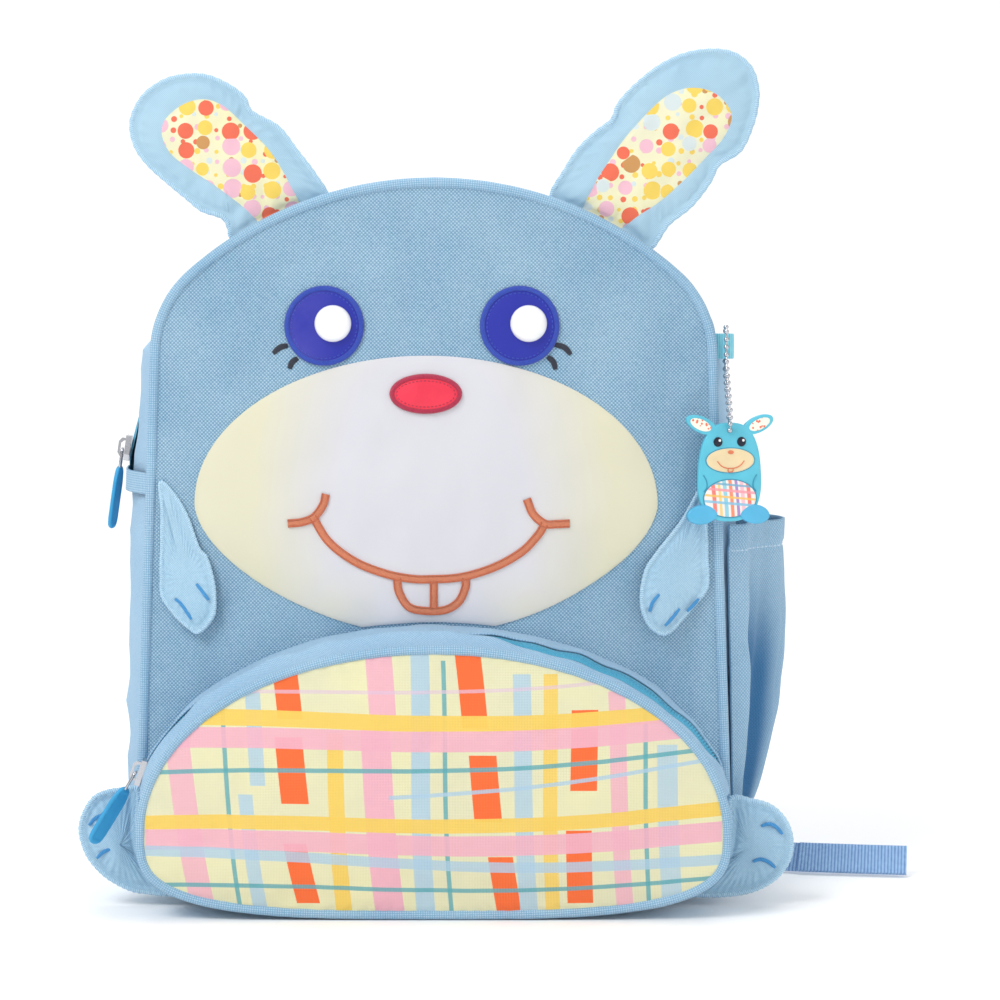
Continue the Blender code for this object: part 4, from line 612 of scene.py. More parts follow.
def seamLine():
    # points and outward normals, anticlockwise from the middle of the base
    low = np.array([bag["half"], bag["lift"] + bag["cord"] + bag["corner"]])
    rise = np.array([bag["upper"], bag["upperLevel"]]) - low
    lean = math.atan2(-rise[0], rise[1])
    normal = np.array([math.cos(lean), math.sin(lean)])
    up = np.array([-normal[1], normal[0]])
    corner = np.array([low[0] - bag["corner"] / normal[0], low[1]])
    arch = np.array([0, bag["height"] - bag["cord"] - bag["arch"]])
    start = low - normal * bag["shoulder"] - arch
    reach = start @ up
    room = reach**2 - start @ start + (bag["arch"] - bag["shoulder"]) ** 2
    shoulder = arch + start + up * (math.sqrt(room) - reach)
    turn = math.atan2(*(shoulder - arch)[::-1])
    points = [np.stack([np.linspace(0, corner[0], 70), np.full(70, low[1] - bag["corner"])], -1)]
    normals = [np.tile([0.0, -1.0], (70, 1))]
    for centre, radius, a, b, steps in ((corner, bag["corner"], -np.pi / 2, lean, 28), (None, 0, 0, 0, 110),
                                        (shoulder, bag["shoulder"], lean, turn, 36),
                                        (arch, bag["arch"], turn, np.pi / 2, 70)):
        if centre is None:
            before, after = points[-1][-1], shoulder + bag["shoulder"] * normal
            t = np.linspace(0, 1, steps)[:, None]
            points.append(before + (after - before) * t)
            normals.append(np.tile(normal, (steps, 1)))
        else:
            way = np.linspace(a, b, steps)
            way = np.stack([np.cos(way), np.sin(way)], -1)
            points.append(centre + radius * way)
            normals.append(way)
    points = np.concatenate([points[0]] + [p[1:] for p in points[1:]])
    normals = np.concatenate([normals[0]] + [n[1:] for n in normals[1:]])
    mirror = np.array([-1, 1])
    return (np.concatenate([points, points[-2:0:-1] * mirror]),
            np.concatenate([normals, normals[-2:0:-1] * mirror]))


seam, seamNormal = seamLine()
panelMiddle = np.array([0.0, 0.46 * bag["height"]])
bodyMiddle, pocketMiddle = (0, 0, 0.15), (0, -0.06, 0.05)


def shareTo(rim, middle):
    # a function that says how far out a point lies from the middle, as a share of the way to the rim
    angle = np.arctan2(*(rim - middle).T[::-1])
    order = np.argsort(angle)
    angle, reach = angle[order], np.linalg.norm(rim - middle, axis=1)[order]

    def share(x, z):
        dx, dz = x - middle[0], z - middle[1]
        return np.hypot(dx, dz) / np.interp(np.arctan2(dz, dx), angle, reach, period=2 * np.pi)
    return share


panelShare = shareTo(seam - seamNormal * (bag["cord"] + 0.0003), panelMiddle)


def foldDepth(x, z, folds):
    # the sum of deep exp(-a^2 - b^2), a and b being shares of a fold's length and width along its turned axes
    total = 0.0
    for across, level, turn, length, width, deep in folds:
        c, s = math.cos(math.radians(turn)), math.sin(math.radians(turn))
        a = ((x - across) * c + (z - level) * s) / length
        b = ((z - level) * c - (x - across) * s) / width
        total = total + deep * np.exp(-a**2 - b**2)
    return total


def frontDepth(x, z):
    # a dome of bulge (1 - share^2.4), less gaussian folds that fade at the rim, with soft unevenness and
    # puckers along the seam
    share = np.minimum(panelShare(x, z), 1)
    fade = 1 - share**8
    depth = bag["bulge"] * (1 - share**2.4) - foldDepth(x, z, bag["folds"]) * fade
    depth = depth + (0.0007 * softNoise(x, z, 0.050, 3) + 0.00025 * softNoise(x, z, 0.018, 4)) * fade
    angle = np.arctan2(z - panelMiddle[1], x - panelMiddle[0])
    pucker = np.sin(angle * 63 + 2.2 * np.sin(angle * 5)) + 0.6 * np.sin(angle * 41 + 1.0)
    return depth + 0.00035 * pucker * np.exp(-((1 - share) / 0.07) ** 2) * np.clip((1 - share) * 60, 0, 1)


def frontY(x, z):
    return bag["front"] - bag["skin"] - frontDepth(x, z)


def backY(x, z):
    # the back panel's skin: a bulge of 1 - share^3
    return bag["back"] + bag["skin"] + bag["backBulge"] * (1 - np.minimum(panelShare(x, z), 1) ** 3)


def discGrid(outline, middle, rows, inner=0.004):
    # rings from the outline to the middle, closer together at the rim
    share = 1 - (1 - inner) * np.linspace(0, 1, rows) ** 1.25
    flat = middle + share[:, None, None] * (outline[None] - middle)
    return flat, share


def planeUv(flat):
    # the cut of the cloth, in metres: its x and z
    return np.concatenate([flat, flat[:, :1]], axis=1)


def makeCord(name, line, y, count, radius, rough, seed, node):
    # edging: a round cord along a closed outline, with a radius that soft noise makes uneven
    path = spaced(np.stack([line[:, 0], np.full(len(line), y), line[:, 1]], -1), count, True)
    wave = 1 + rough * softNoise(path[:, 0], path[:, 2], 0.012, seed)
    grid = along(path, ring(radius, 14) * wave[:, None, None], (0, 1, 0), closed=True)
    makePiece(name, grid, bindCloth, "edging_cloth", [node], wrap=True, join=True,
              uv=cordUv(path, 14, radius))


def makePanels():
    rim = seam - seamNormal * bag["rim"]
    flat, share = discGrid(rim, panelMiddle, 50)
    x, z = flat[..., 0], flat[..., 1]
    makePiece("frontCloth", np.stack([x, frontY(x, z), z], -1), bodyCloth, "body_cloth", ["front_panel"],
              wrap=True, poles=(False, True), uv=planeUv(flat), inside=bodyMiddle)
    flat, share = discGrid(rim, panelMiddle, 27)
    x, z = flat[..., 0], flat[..., 1]
    away = np.minimum(panelShare(x, z), 1)
    # quilted rows 55 mm apart inside a stitched line
    quilt = np.abs(np.sin((z - 0.03) * np.pi / 0.055)) ** 0.35 - 1
    y = backY(x, z) + 0.0005 * softNoise(x, z, 0.06, 8) * (1 - away**6)
    y = y + 0.0012 * quilt * np.clip((0.88 - away) * 14, 0, 1)
    y = y - 0.0010 * np.exp(-((away - 0.89) / 0.012) ** 2)
    makePiece("backCloth", np.stack([x, y, z], -1), backCloth, "padded_cloth", ["back_panel"], wrap=True,
              poles=(False, True), uv=planeUv(flat), inside=bodyMiddle)
    for name in ("front", "back"):
        makeCord(name + "Cord", seam, bag[name], 540, bag["cord"], 0.02, 5, name + "_piping")


coil = dict(half=0.0023, rise=0.0013, tape=0.009, pitch=0.0015, step=0.0004, sink=0.0007, least=0.62)
gussetBands = dict(wrinkle=0.0011, pucker=0.0007, gather=0.0115, edge=0.0016,
                   levels=(0.0, .05, .15, .40, .55, .64, .70, .77, .85, 1.0),
                   swells=(.06, .06, .085, .12, .15, .145, .09, .055, .03, .008))


def gussetPoints(place, normal, behind, run, sink=0.0):
    # out from the seam by the swell at that level times the crown 1 - |2b/D - 1|^2.2, with wrinkles across
    swell = bag["depth"] * np.interp(place[:, 1] / bag["height"], gussetBands["levels"],
                                     gussetBands["swells"])
    swell = np.convolve(np.pad(swell, 12, mode="edge"), np.ones(25) / 25, mode="valid")
    b = behind[None, :]
    crown = 1 - np.abs(2 * b / bag["depth"] - 1) ** 2.2
    edge = np.minimum(b, bag["depth"] - b)
    out = swell[:, None] * crown
    rough = gussetBands["wrinkle"] * softNoise(run[:, None], b * 0.45, 0.022, 11)
    out = out + rough * np.clip(crown * 1.5, 0, 1)
    phase = run[:, None] * 2 * np.pi / gussetBands["gather"] + 2 * np.sin(run[:, None] * 90)
    gather = 0.5 + 0.5 * np.sin(phase)
    out = out - gussetBands["pucker"] * gather * np.exp(-((edge - 0.0045) / 0.0035) ** 2)
    flat = place[:, None] + normal[:, None] * (out - sink)[..., None]
    z = np.maximum(flat[..., 1], 0.0)
    return np.stack([flat[..., 0], np.broadcast_to(bag["front"] + b, z.shape), z], -1)


def gussetStations(upper):
    # the seam's points above or below the cross seams, evenly spaced, with their normals
    both = np.concatenate([seam, seamNormal], -1)
    first = int(np.argmax(seam[:, 1] > bag["crossSeam"]))
    last = len(seam) - first
    line = both[first:last + 1] if upper else np.concatenate([both[last:], both[:first + 1]])
    line = spaced(line, 320 if upper else 280, False)
    return line[:, :2], unit(line[:, 2:]), lengthOf(line[:, :2])


def makeGusset():
    middle, half = bag["depth"] / 2, bag["zipWidth"] / 2 - 0.0006
    near, far = gussetBands["edge"], bag["depth"] - gussetBands["edge"]
    for name, upper, start, end, node in (("frontStrip", True, near, middle - half, "gusset_front_strip"),
                                          ("backStrip", True, middle + half, far, "gusset_back_strip"),
                                          ("baseStrip", False, near, far, "gusset_base")):
        place, normal, run = gussetStations(upper)
        behind = np.linspace(start, end, 22 if upper else 42)
        makePiece(name, gussetPoints(place, normal, behind, run), sideCloth, "body_cloth", [node],
                  uv=pairs(run, behind), inside=bodyMiddle, wall=0.0011)
    place, normal, run = gussetStations(True)
    # the coil on the main zip's tape
    line = spaced(np.concatenate([place, normal], -1), int(run[-1] / coil["step"]), False)
    across, rise = zipProfile()
    place, normal = line[:, :2], unit(line[:, 2:])
    base = gussetPoints(place, normal, middle + across, lengthOf(place), sink=coil["sink"])
    makeZip("mainZipTape", base, normal, lengthOf(place), across, rise, "main_zip", bodyMiddle)
    # a band of cloth covers the seam between the upper strips and the base, on both sides
    for side in (-1, 1):
        line = np.concatenate([seam, seamNormal], -1)
        line = line[(np.sign(seam[:, 0]) == side) & (np.abs(seam[:, 1] - bag["crossSeam"]) < 0.006)]
        line = spaced(line[np.argsort(line[:, 1])], 12, False)
        behind = np.linspace(0.0020, bag["depth"] - 0.0020, 70)
        grid = gussetPoints(line[:, :2], unit(line[:, 2:]), behind, np.zeros(12), sink=-0.0009)
        makePiece("crossBand" + ("Left" if side < 0 else "Right"), grid, bindCloth, "edging_cloth",
                  uv=pairs(lengthOf(line[:, :2]), behind), inside=bodyMiddle, wall=0.0008)


def zipProfile():
    # across a zip: flat tape, and a coil whose height follows a half circle
    half, tape = coil["half"], coil["tape"]
    across = np.concatenate([np.linspace(-tape, -half, 4), np.linspace(-half, half, 13)[1:-1],
                             np.linspace(half, tape, 4)])
    return across, coil["rise"] * np.sqrt(np.clip(1 - (across / half) ** 2, 0, 1))


def lifted(grid, normal, lift):
    # each row of the grid moved out along its own normal in the plane of the front
    return grid + np.stack([normal[:, None, 0] * lift, 0 * lift, normal[:, None, 1] * lift], -1)


def makeZip(name, base, normal, run, across, rise, node, inside):
    # the coil's height is cut by a cosine of the teeth's pitch, and its two sides are a fifth of a turn apart
    wave = np.cos(run[:, None] * 2 * np.pi / coil["pitch"] + np.where(across < 0, 0, 1.2)[None])
    tooth = coil["least"] + (1 - coil["least"]) * wave
    makePiece(name, lifted(base, normal, rise[None] * tooth), tapeCloth, "zip_tape", [node],
              uv=pairs(run, across), inside=inside)


makePanels()
makeGusset()
print("body made")


# the domed front pocket

pocket = dict(half=0.1324, level=0.039, rise=0.0836, cord=0.0022, depth=0.038, grow=0.0085, zipEnd=0.052,
              bulge=0.008, zipPlace=0.0076, zipWidth=0.011, swell=0.003, wrinkle=0.0006, folds=(
                  (-0.098, 0.040, 60, 0.030, 0.007, 0.0010), (0.100, 0.045, -62, 0.030, 0.007, 0.0010),
                  (-0.055, 0.012, 8, 0.030, 0.006, 0.0009), (0.052, 0.012, -6, 0.034, 0.006, 0.0009)))
pocketDrop = pocket["level"] - bag["lift"] - pocket["cord"]


def rounded(angle, half, rise, drop, upper, lower):
    # two half superellipses of one width, one above and one below
    c, s = np.cos(angle), np.sin(angle)
    power = 2 / np.where(s >= 0, upper, lower)
    return np.stack([half * np.sign(c) * np.abs(c) ** power,
                     np.where(s >= 0, rise, drop) * np.sign(s) * np.abs(s) ** power], -1)


def sectionOf(count, power):
    # a superellipse of radius 1
    return rounded(turns(count), 1.0, 1.0, 1.0, power, power)


def outward(line):
    run = unit(np.roll(line, -2, 0) - np.roll(line, 2, 0))
    return np.stack([run[:, 1], -run[:, 0]], -1)


pocketAngle = np.linspace(0, 2 * np.pi, 1441)[:-1]
fine = rounded(pocketAngle, pocket["half"], pocket["rise"], pocketDrop, 2.05, 3.3)
wideHalf = pocket["half"] + pocket["grow"] / 2
rear = rounded(pocketAngle, wideHalf, pocket["rise"] + pocket["grow"], pocketDrop, 2.05, 3.3)
both = spaced(np.concatenate([fine, rear], -1) + [0, pocket["level"], 0, pocket["level"]], 720, True)
pocketSeam, pocketBack = both[:, :2], both[:, 2:]
tooFar = np.minimum(1, 0.975 / panelShare(pocketBack[:, 0], pocketBack[:, 1]))[:, None]
pocketBack = panelMiddle + (pocketBack - panelMiddle) * tooFar
pocketNormal = outward(pocketSeam)
pocketY = bag["front"] - pocket["depth"]


def pocketWall(seamPart, backPart, normalPart, share, run, sink=0.0):
    # straight from the front seam to the panel, swelling by swell (1 - (2a - 1)^2), with small wrinkles
    a = share if share.ndim > 1 else share[None, :]
    flat = seamPart[:, None] + a[..., None] * (backPart - seamPart)[:, None]
    out = pocket["swell"] * (1 - (2 * a - 1) ** 2)
    rough = pocket["wrinkle"] * softNoise(run[:, None], a * 0.012, 0.020, 21)
    out = out + rough * np.sqrt(np.clip(a * (1 - a) * 4, 0, 1))
    flat = flat + normalPart[:, None] * (out - sink)[..., None]
    z = np.maximum(flat[..., 1], bag["lift"])
    end = frontY(backPart[:, 0], backPart[:, 1])[:, None] + 0.0004
    start = pocketY + pocket["cord"] * 0.6
    return np.stack([flat[..., 0], start + a * (end - start), z], -1)


def zipOpen(x):
    # 1 where the slit shows the zip, from 8 to 126 mm right of the middle, and a third of it left of -104 mm
    return np.clip(ease((x - 0.004) / 0.050) * ease((0.130 - x) / 0.010) + 0.45 * ease((-0.100 - x) / 0.010),
                   0, 1)


def makePocket():
    count = len(pocketSeam)
    high = pocketSeam[:, 1] > pocket["zipEnd"]
    upper = np.arange(count)[high]
    lower = np.concatenate([np.arange(upper[-1], count), np.arange(0, upper[0] + 1)])
    zipShare = (pocket["zipPlace"] / pocket["depth"],
                (pocket["zipPlace"] + pocket["zipWidth"]) / pocket["depth"])
    for name, part, a, b, rows, node, look, slotName in (
            ("pocketFrontStrip", upper, 0.0, zipShare[0] + 0.02, 12, "pocket_front_strip", sideCloth,
             "body_cloth"),
            ("pocketBackStrip", upper, zipShare[1] - 0.02, 1.0, 18, "pocket_back_strip", sideCloth,
             "body_cloth"),
            ("pocketBase", lower, 0.0, 1.0, 24, "pocket_base", sideCloth, "body_cloth")):
        line = spaced(np.concatenate([pocketSeam[part], pocketBack[part], pocketNormal[part]], -1), 320,
                      False)
        run = lengthOf(line[:, :2])
        share = np.linspace(0, 1, rows)[None] * np.ones((320, 1))
        lip = np.zeros((320, 1))
        if part is upper:
            # the strips meet over the zip except where the slit is open, with thicker lips where they meet
            slit = zipOpen(line[:, 0])[:, None]
            middle = (zipShare[0] + zipShare[1]) / 2
            if a == 0.0:
                b, back = slit * (zipShare[0] - 0.03) + (1 - slit) * (middle + 0.012), 1 - share
            else:
                a, back = slit * (zipShare[1] - 0.01) + (1 - slit) * (middle - 0.006), share
            reach = 0.30 if node == "pocket_front_strip" else 0.10
            lip = (0.0003 + 0.0016 * (1 - slit)) * np.exp(-(back / reach) ** 2)
        share = a + (b - a) * share
        normal = unit(line[:, 4:])
        grid = lifted(pocketWall(line[:, :2], line[:, 2:4], normal, share, run), normal, lip + 0 * share)
        uv = np.stack([run[:, None] + 0 * share, share * pocket["depth"]], -1)
        makePiece(name, grid, look, slotName, [node], uv=uv, inside=pocketMiddle, wall=0.0010)
    line = np.concatenate([pocketSeam[upper], pocketBack[upper], pocketNormal[upper]], -1)
    line = spaced(line, int(lengthOf(line[:, :2])[-1] / coil["step"]), False)
    run = lengthOf(line[:, :2])
    across, rise = zipProfile()
    keep = np.abs(across) < 0.0060
    across, rise = across[keep], rise[keep]
    share = (pocket["zipPlace"] + pocket["zipWidth"] / 2 + across) / pocket["depth"]
    normal = unit(line[:, 4:])
    base = pocketWall(line[:, :2], line[:, 2:4], normal, share, run, sink=coil["sink"])
    makeZip("pocketZipTape", base, normal, run, across, rise, "pocket_zip", pocketMiddle)
    makeCord("pocketCord", pocketSeam, pocketY, 560, pocket["cord"], 0.03, 25, "pocket_piping")
    middle = np.array([0, pocket["level"] + 0.2 * pocket["rise"]])
    flat, share = discGrid(pocketSeam - pocketNormal * 0.0015, middle, 43)
    x, z, share = flat[..., 0], flat[..., 1], share[:, None]
    fade = np.clip((1 - share) * 9, 0, 1)
    out = pocket["bulge"] * (1 - share**2.6) - foldDepth(x, z, pocket["folds"]) * fade
    out = out + (0.0007 * softNoise(x, z, 0.055, 31) + 0.0002 * softNoise(x, z, 0.016, 32)) * fade
    angle = np.arctan2(z - middle[1], x - middle[0])
    pucker = 0.0003 * np.sin(angle * 57 + 2 * np.sin(angle * 6))
    out = out + pucker * np.exp(-((1 - share) / 0.06) ** 2) * np.clip((1 - share) * 60, 0, 1)
    makePiece("pocketPrint", np.stack([x, pocketY - bag["skin"] - out, z], -1), printCloth, "print_cloth",
              ["pocket_panel"], wrap=True, poles=(False, True), uv=planeUv(flat), inside=pocketMiddle)


makePocket()
print("pocket made")


# the face, sewn onto the front panel

mm = 0.001
face = dict(x=-0.0035, muzzleLevel=0.186, muzzleHalf=0.106, muzzleRise=0.068, muzzleDrop=0.060, edge=0.0006,
            puff=0.0026, eyeLevel=0.2676, eyeSpacing=0.089, eye=0.0179, dome=0.0084, domeHeight=0.0046,
            noseLevel=0.2368, noseHalf=0.0162, noseHigh=0.0088, noseEdge=0.0008, nosePuff=0.0012,
            eyeEdge=0.0009, eyePuff=0.0007, satin=0.0006, smileWidth=0.0034,
            smile=((-55, 180.8), (-47.6, 169.4), (-35.4, 160.3), (-21.8, 155), (-9.8, 152.7), (-0.7, 152.5),
                   (12.9, 153.5), (28, 158.1), (40.1, 164.9), (47.6, 172.6), (50.6, 177.8)),
            curls=(((-49, 191.3), (-50.3, 186.2), (-54.4, 180.7), (-59.9, 178.4), (-66.3, 177.7)),
                   ((42.4, 189), (45.3, 182.2), (50.7, 177.7), (56.2, 177.5), (62, 177.7))),
            teeth=((-16.6, 152.9), (-15.7, 146.7), (-11.3, 139.9), (-3.9, 137.9), (5.2, 138.3), (11.4, 142.1),
                   (14.4, 148.4), (14.8, 152.9)),
            gap=((0.1, 151.5), (0.1, 139.4)),
            lashes=(((-73.1, 255), (-70.0, 257.6), (-66.3, 258.6)),
                    ((-65.6, 248), (-64.4, 250.9), (-61.8, 252.9)),
                    ((55.1, 259), (59.4, 257.8), (62.6, 254.5)),
                    ((51.9, 253.5), (54.5, 251.2), (55.6, 247.7))))


def muzzleLine():
    angle = np.linspace(0, 2 * np.pi, 1441)[:-1]
    line = rounded(angle, face["muzzleHalf"], face["muzzleRise"], face["muzzleDrop"], 2.0, 1.68)
    line = line + [face["x"], face["muzzleLevel"]]
    top = pocketBack[(pocketBack[:, 1] > pocket["level"])]
    top = top[np.argsort(top[:, 0])]
    line[:, 1] = np.maximum(line[:, 1], np.interp(line[:, 0], top[:, 0], top[:, 1]) + 0.0014)
    return spaced(line, 520, True)


muzzle = muzzleLine()
muzzleMiddle = muzzle.mean(0)
muzzleShare = shareTo(muzzle, muzzleMiddle)


def muzzleY(x, z):
    # the panel, then an edge and a puff of sqrt(1 - share^2) over it
    share = muzzleShare(x, z)
    return frontY(x, z) - (face["edge"] + face["puff"] * np.sqrt(1 - np.minimum(share, 1) ** 2)) * (share < 1)


def patch(name, outline, surface, look, slotName, nodes, edge, puff, rows=24, under=0.0003, sharp=40):
    # a cloth or vinyl shape sewn onto a surface: an upright edge, then a rise of puff sqrt(1 - share^2)
    middle = outline.mean(0)
    flat, share = discGrid(outline, middle, rows)
    flat, share = np.concatenate([flat[:1], flat]), np.concatenate([share[:1], share])
    lift = edge + puff * np.sqrt(1 - share**2)
    lift[0] = -under
    x, z = flat[..., 0], flat[..., 1]
    makePiece(name, np.stack([x, surface(x, z) - lift[:, None], z], -1), look, slotName, nodes, wrap=True,
              poles=(False, True), uv=planeUv(flat), inside=(middle[0], 0.02, middle[1]), sharp=sharp)


def band(name, points, surface, look, slotName, width, high, count=160, closed=False, lift=0.0001, taper=0.0):
    # satin stitching: a half ellipse carried along a line on a surface, narrower at its ends by the taper
    line = np.asarray(points, float)
    line = (closedCurve if closed else openCurve)(line, count)
    side = sideOf(line, closed)
    thin = np.ones(count) if closed else 1 - taper * np.abs(2 * np.linspace(0, 1, count) - 1) ** 3
    o = np.linspace(-1, 1, 11)
    flat = line[:, None] + side[:, None] * (o[None, :, None] * width / 2 * thin[:, None, None])
    rise = high * np.sqrt(np.clip(1 - o**2, 0, 1))[None] * thin[:, None]
    x, z = flat[..., 0], flat[..., 1]
    y = surface(x, z) - lift - rise + np.where(np.abs(o) == 1, 0.0003, 0)[None]
    run = lengthOf(line)
    rows = count + 1 if closed else count
    run = np.append(run, 2 * run[-1] - run[-2])[:rows]
    middle = line.mean(0)
    makePiece(name, np.stack([x, y, z], -1), look, slotName, uv=pairs(run, o * width / 2), join=closed,
              inside=(middle[0], 0.1, middle[1]))


def makeMany(name, blocks, look, slotName, replaced=(), body="root", wrap=False, caps=False):
    # many small grids in one mesh. blocks is (number, rows, columns, 3)
    n, rows, cols, _ = blocks.shape
    quads, _ = gridQuads(rows, cols, wrap)
    quads = (quads[None] + (np.arange(n) * rows * cols)[:, None, None]).reshape(-1, 4)
    points = blocks.reshape(-1, 3)
    middle = np.repeat(blocks.reshape(n, -1, 3).mean(1), rows * cols, 0) + [0, 0.001 if not caps else 0, 0]
    t = points[quads[:, :3]] - middle[quads[:, :1]]
    turned = np.einsum("ij,ij->i", t[:, 0], np.cross(t[:, 1], t[:, 2])).sum() < 0
    loops = [quads.ravel()]
    sizes = [np.full(len(quads), 4)]
    if caps:
        start = (np.arange(n) * rows * cols)[:, None]
        loops += [(start + np.arange(cols)[::-1]).ravel(),
                  (start + (rows - 1) * cols + np.arange(cols)).ravel()]
        sizes += [np.full(2 * n, cols)]
    loops, sizes = np.concatenate(loops), np.concatenate(sizes)
    if turned:
        sides, ends = loops[:len(quads) * 4].reshape(-1, 4), loops[len(quads) * 4:].reshape(-1, cols)
        loops = np.concatenate([sides[:, ::-1].ravel(), ends[:, ::-1].ravel()])
    piece = addMesh(name, points, loops, sizes, points[loops][:, [0, 2]], look)
    finishPiece(piece, slotName, replaced, body)


# one running stitch: shares along and across it, and its height
stitchU, stitchV = np.meshgrid(np.linspace(-1, 1, 5), np.linspace(-1, 1, 4), indexing="ij")
stitchHigh = np.sqrt(np.clip(1 - 0.8 * stitchV**2, 0, 1)) * np.sqrt(np.clip(1.02 - stitchU**2, 0, 1))


def dashes(name, line, place, look, slotName, pitch=0.0032, length=0.0021, width=0.0007, high=0.00035):
    # running stitches: small half ellipses along a line. place turns (x, z) pairs and heights into points
    count = max(2, int(lengthOf(line)[-1] / pitch))
    middles = spaced(line, count, False)
    step = unit(np.gradient(middles, axis=0))
    side = np.stack([step[:, 1], -step[:, 0]], -1)
    half = (stitchV * width / 2 * np.sqrt(1.15 - stitchU**2))[None, ..., None]
    flat = middles[:, None, None] + step[:, None, None] * (stitchU * length / 2)[None, ..., None] \
        + side[:, None, None] * half
    rise = np.broadcast_to(high * stitchHigh - 0.0001, flat.shape[:-1])
    makeMany(name, place(flat, rise), look, slotName)


def onSurface(surface):
    def place(flat, rise):
        x, z = flat[..., 0], flat[..., 1]
        return np.stack([x, surface(x, z) - rise, z], -1)
    return place


def circle(centre, radius, count=120, flatten=1.0):
    a = turns(count)
    return np.asarray(centre) + np.stack([radius * np.cos(a), radius * flatten * np.sin(a)], -1)


def edges(name, ends, line, count, apart=0.0015):
    # a raised line of darker thread along each side of a satin line
    for end, sign in zip(ends, (-1, 1)):
        band(name + end, line + sideOf(line) * (sign * apart), muzzleY, smileEdge, "muzzle_cloth", 0.0009,
             0.0009, count)


def makeFace():
    patch("muzzleCloth", muzzle, frontY, muzzleCloth, "muzzle_cloth", ["muzzle"], face["edge"], face["puff"],
          rows=39, under=0.0002, sharp=50)
    satin = dict(surface=muzzleY, look=smileThread, slotName="muzzle_cloth", high=face["satin"])
    smile, teeth, gap = (np.array(face[key]) * mm for key in ("smile", "teeth", "gap"))
    band("smile", smile, width=face["smileWidth"], count=260, **satin)
    edges("smileEdge", "AB", openCurve(smile, 200), 260)
    for name, line in zip("AB", face["curls"]):
        line = openCurve(np.array(line) * mm, 80)
        band("curl" + name, line, width=face["smileWidth"], count=90, taper=0.2, **satin)
        edges("curlEdge" + name, ("Up", "Down"), line, 90)
    teeth = openCurve(teeth, 120)
    band("teeth", teeth, width=face["smileWidth"], count=180, **satin)
    edges("teethEdge", ("In", "Out"), teeth, 180)
    band("teethGap", gap, width=0.0032, count=40, **satin)
    edges("teethGapEdge", ("Left", "Right"), gap, 40, apart=-0.0014)
    nose = np.array([face["x"], face["noseLevel"]])
    noseLine = circle(nose, face["noseHalf"], 140, face["noseHigh"] / face["noseHalf"])
    patch("nosePatch", noseLine, muzzleY, noseVinyl, "nose_vinyl", ["nose"], face["noseEdge"],
          face["nosePuff"])

    def noseY(x, z):
        share = np.minimum(np.hypot((x - nose[0]) / face["noseHalf"], (z - nose[1]) / face["noseHigh"]), 1)
        return muzzleY(x, z) - face["noseEdge"] - face["nosePuff"] * np.sqrt(1 - share**2)
    rim, line = (circle(nose, face["noseHalf"] - inset, 140,
                        (face["noseHigh"] - inset) / (face["noseHalf"] - inset))
                 for inset in (0.0008, 0.0029))
    band("noseRim", rim, noseY, noseThread, "nose_vinyl", 0.0022, face["satin"], 240, closed=True)
    dashes("noseStitch", line, onSurface(noseY), noseThread, "nose_vinyl", 0.0017, 0.0013, 0.0005, 0.0003)
    for side, shift in (("Left", -1), ("Right", 1)):
        centre = np.array([face["x"] * 1.5 + shift * face["eyeSpacing"] / 2, face["eyeLevel"]])
        patch("eyePatch" + side, circle(centre, face["eye"]), frontY, eyeVinyl, "eye_vinyl",
              ["eye_" + side.lower()], face["eyeEdge"], face["eyePuff"])

        def eyeY(x, z, centre=centre):
            share = np.minimum(np.hypot(x - centre[0], z - centre[1]) / face["eye"], 1)
            return frontY(x, z) - face["eyeEdge"] - face["eyePuff"] * np.sqrt(1 - share**2)
        band("eyeRim" + side, circle(centre, face["eye"] - 0.0009), eyeY, eyeThread, "eye_vinyl", 0.0024,
             face["satin"], 260, closed=True)
        dashes("eyeStitch" + side, circle(centre, face["eye"] - 0.0030), onSurface(eyeY), eyeThread,
               "eye_vinyl", 0.0019, 0.0014, 0.0005, 0.0003)
        spot = centre + [0.004, 0.001]
        # a lens shape: the height follows sqrt(1 - share^2.4)
        flat, share = discGrid(circle(spot, face["dome"], 72), spot, 22)
        share = np.clip(share, 0, 1)
        x, z = flat[..., 0], flat[..., 1]
        base = eyeY(x, z) + 0.0002
        y = base - 0.0006 - face["domeHeight"] * np.sqrt(1 - share**2.4)[:, None]
        grid = np.concatenate([np.stack([x[:1], base[:1], z[:1]], -1), np.stack([x, y, z], -1)])
        makePiece("eyeDome" + side, grid, whiteDome, "white_plastic", ["eye_dome_" + side.lower()], wrap=True,
                  poles=(False, True), inside=(spot[0], 0.02, spot[1]), sharp=55)
    for index, line in enumerate(face["lashes"]):
        band("lash" + str(index + 1), np.array(line) * mm, frontY, lashThread, "eye_vinyl", 0.0029,
             face["satin"], 50, taper=0.3)


makeFace()
print("face made")


# ears, arms and feet: two layers sewn round the edge, with an overlocked rim

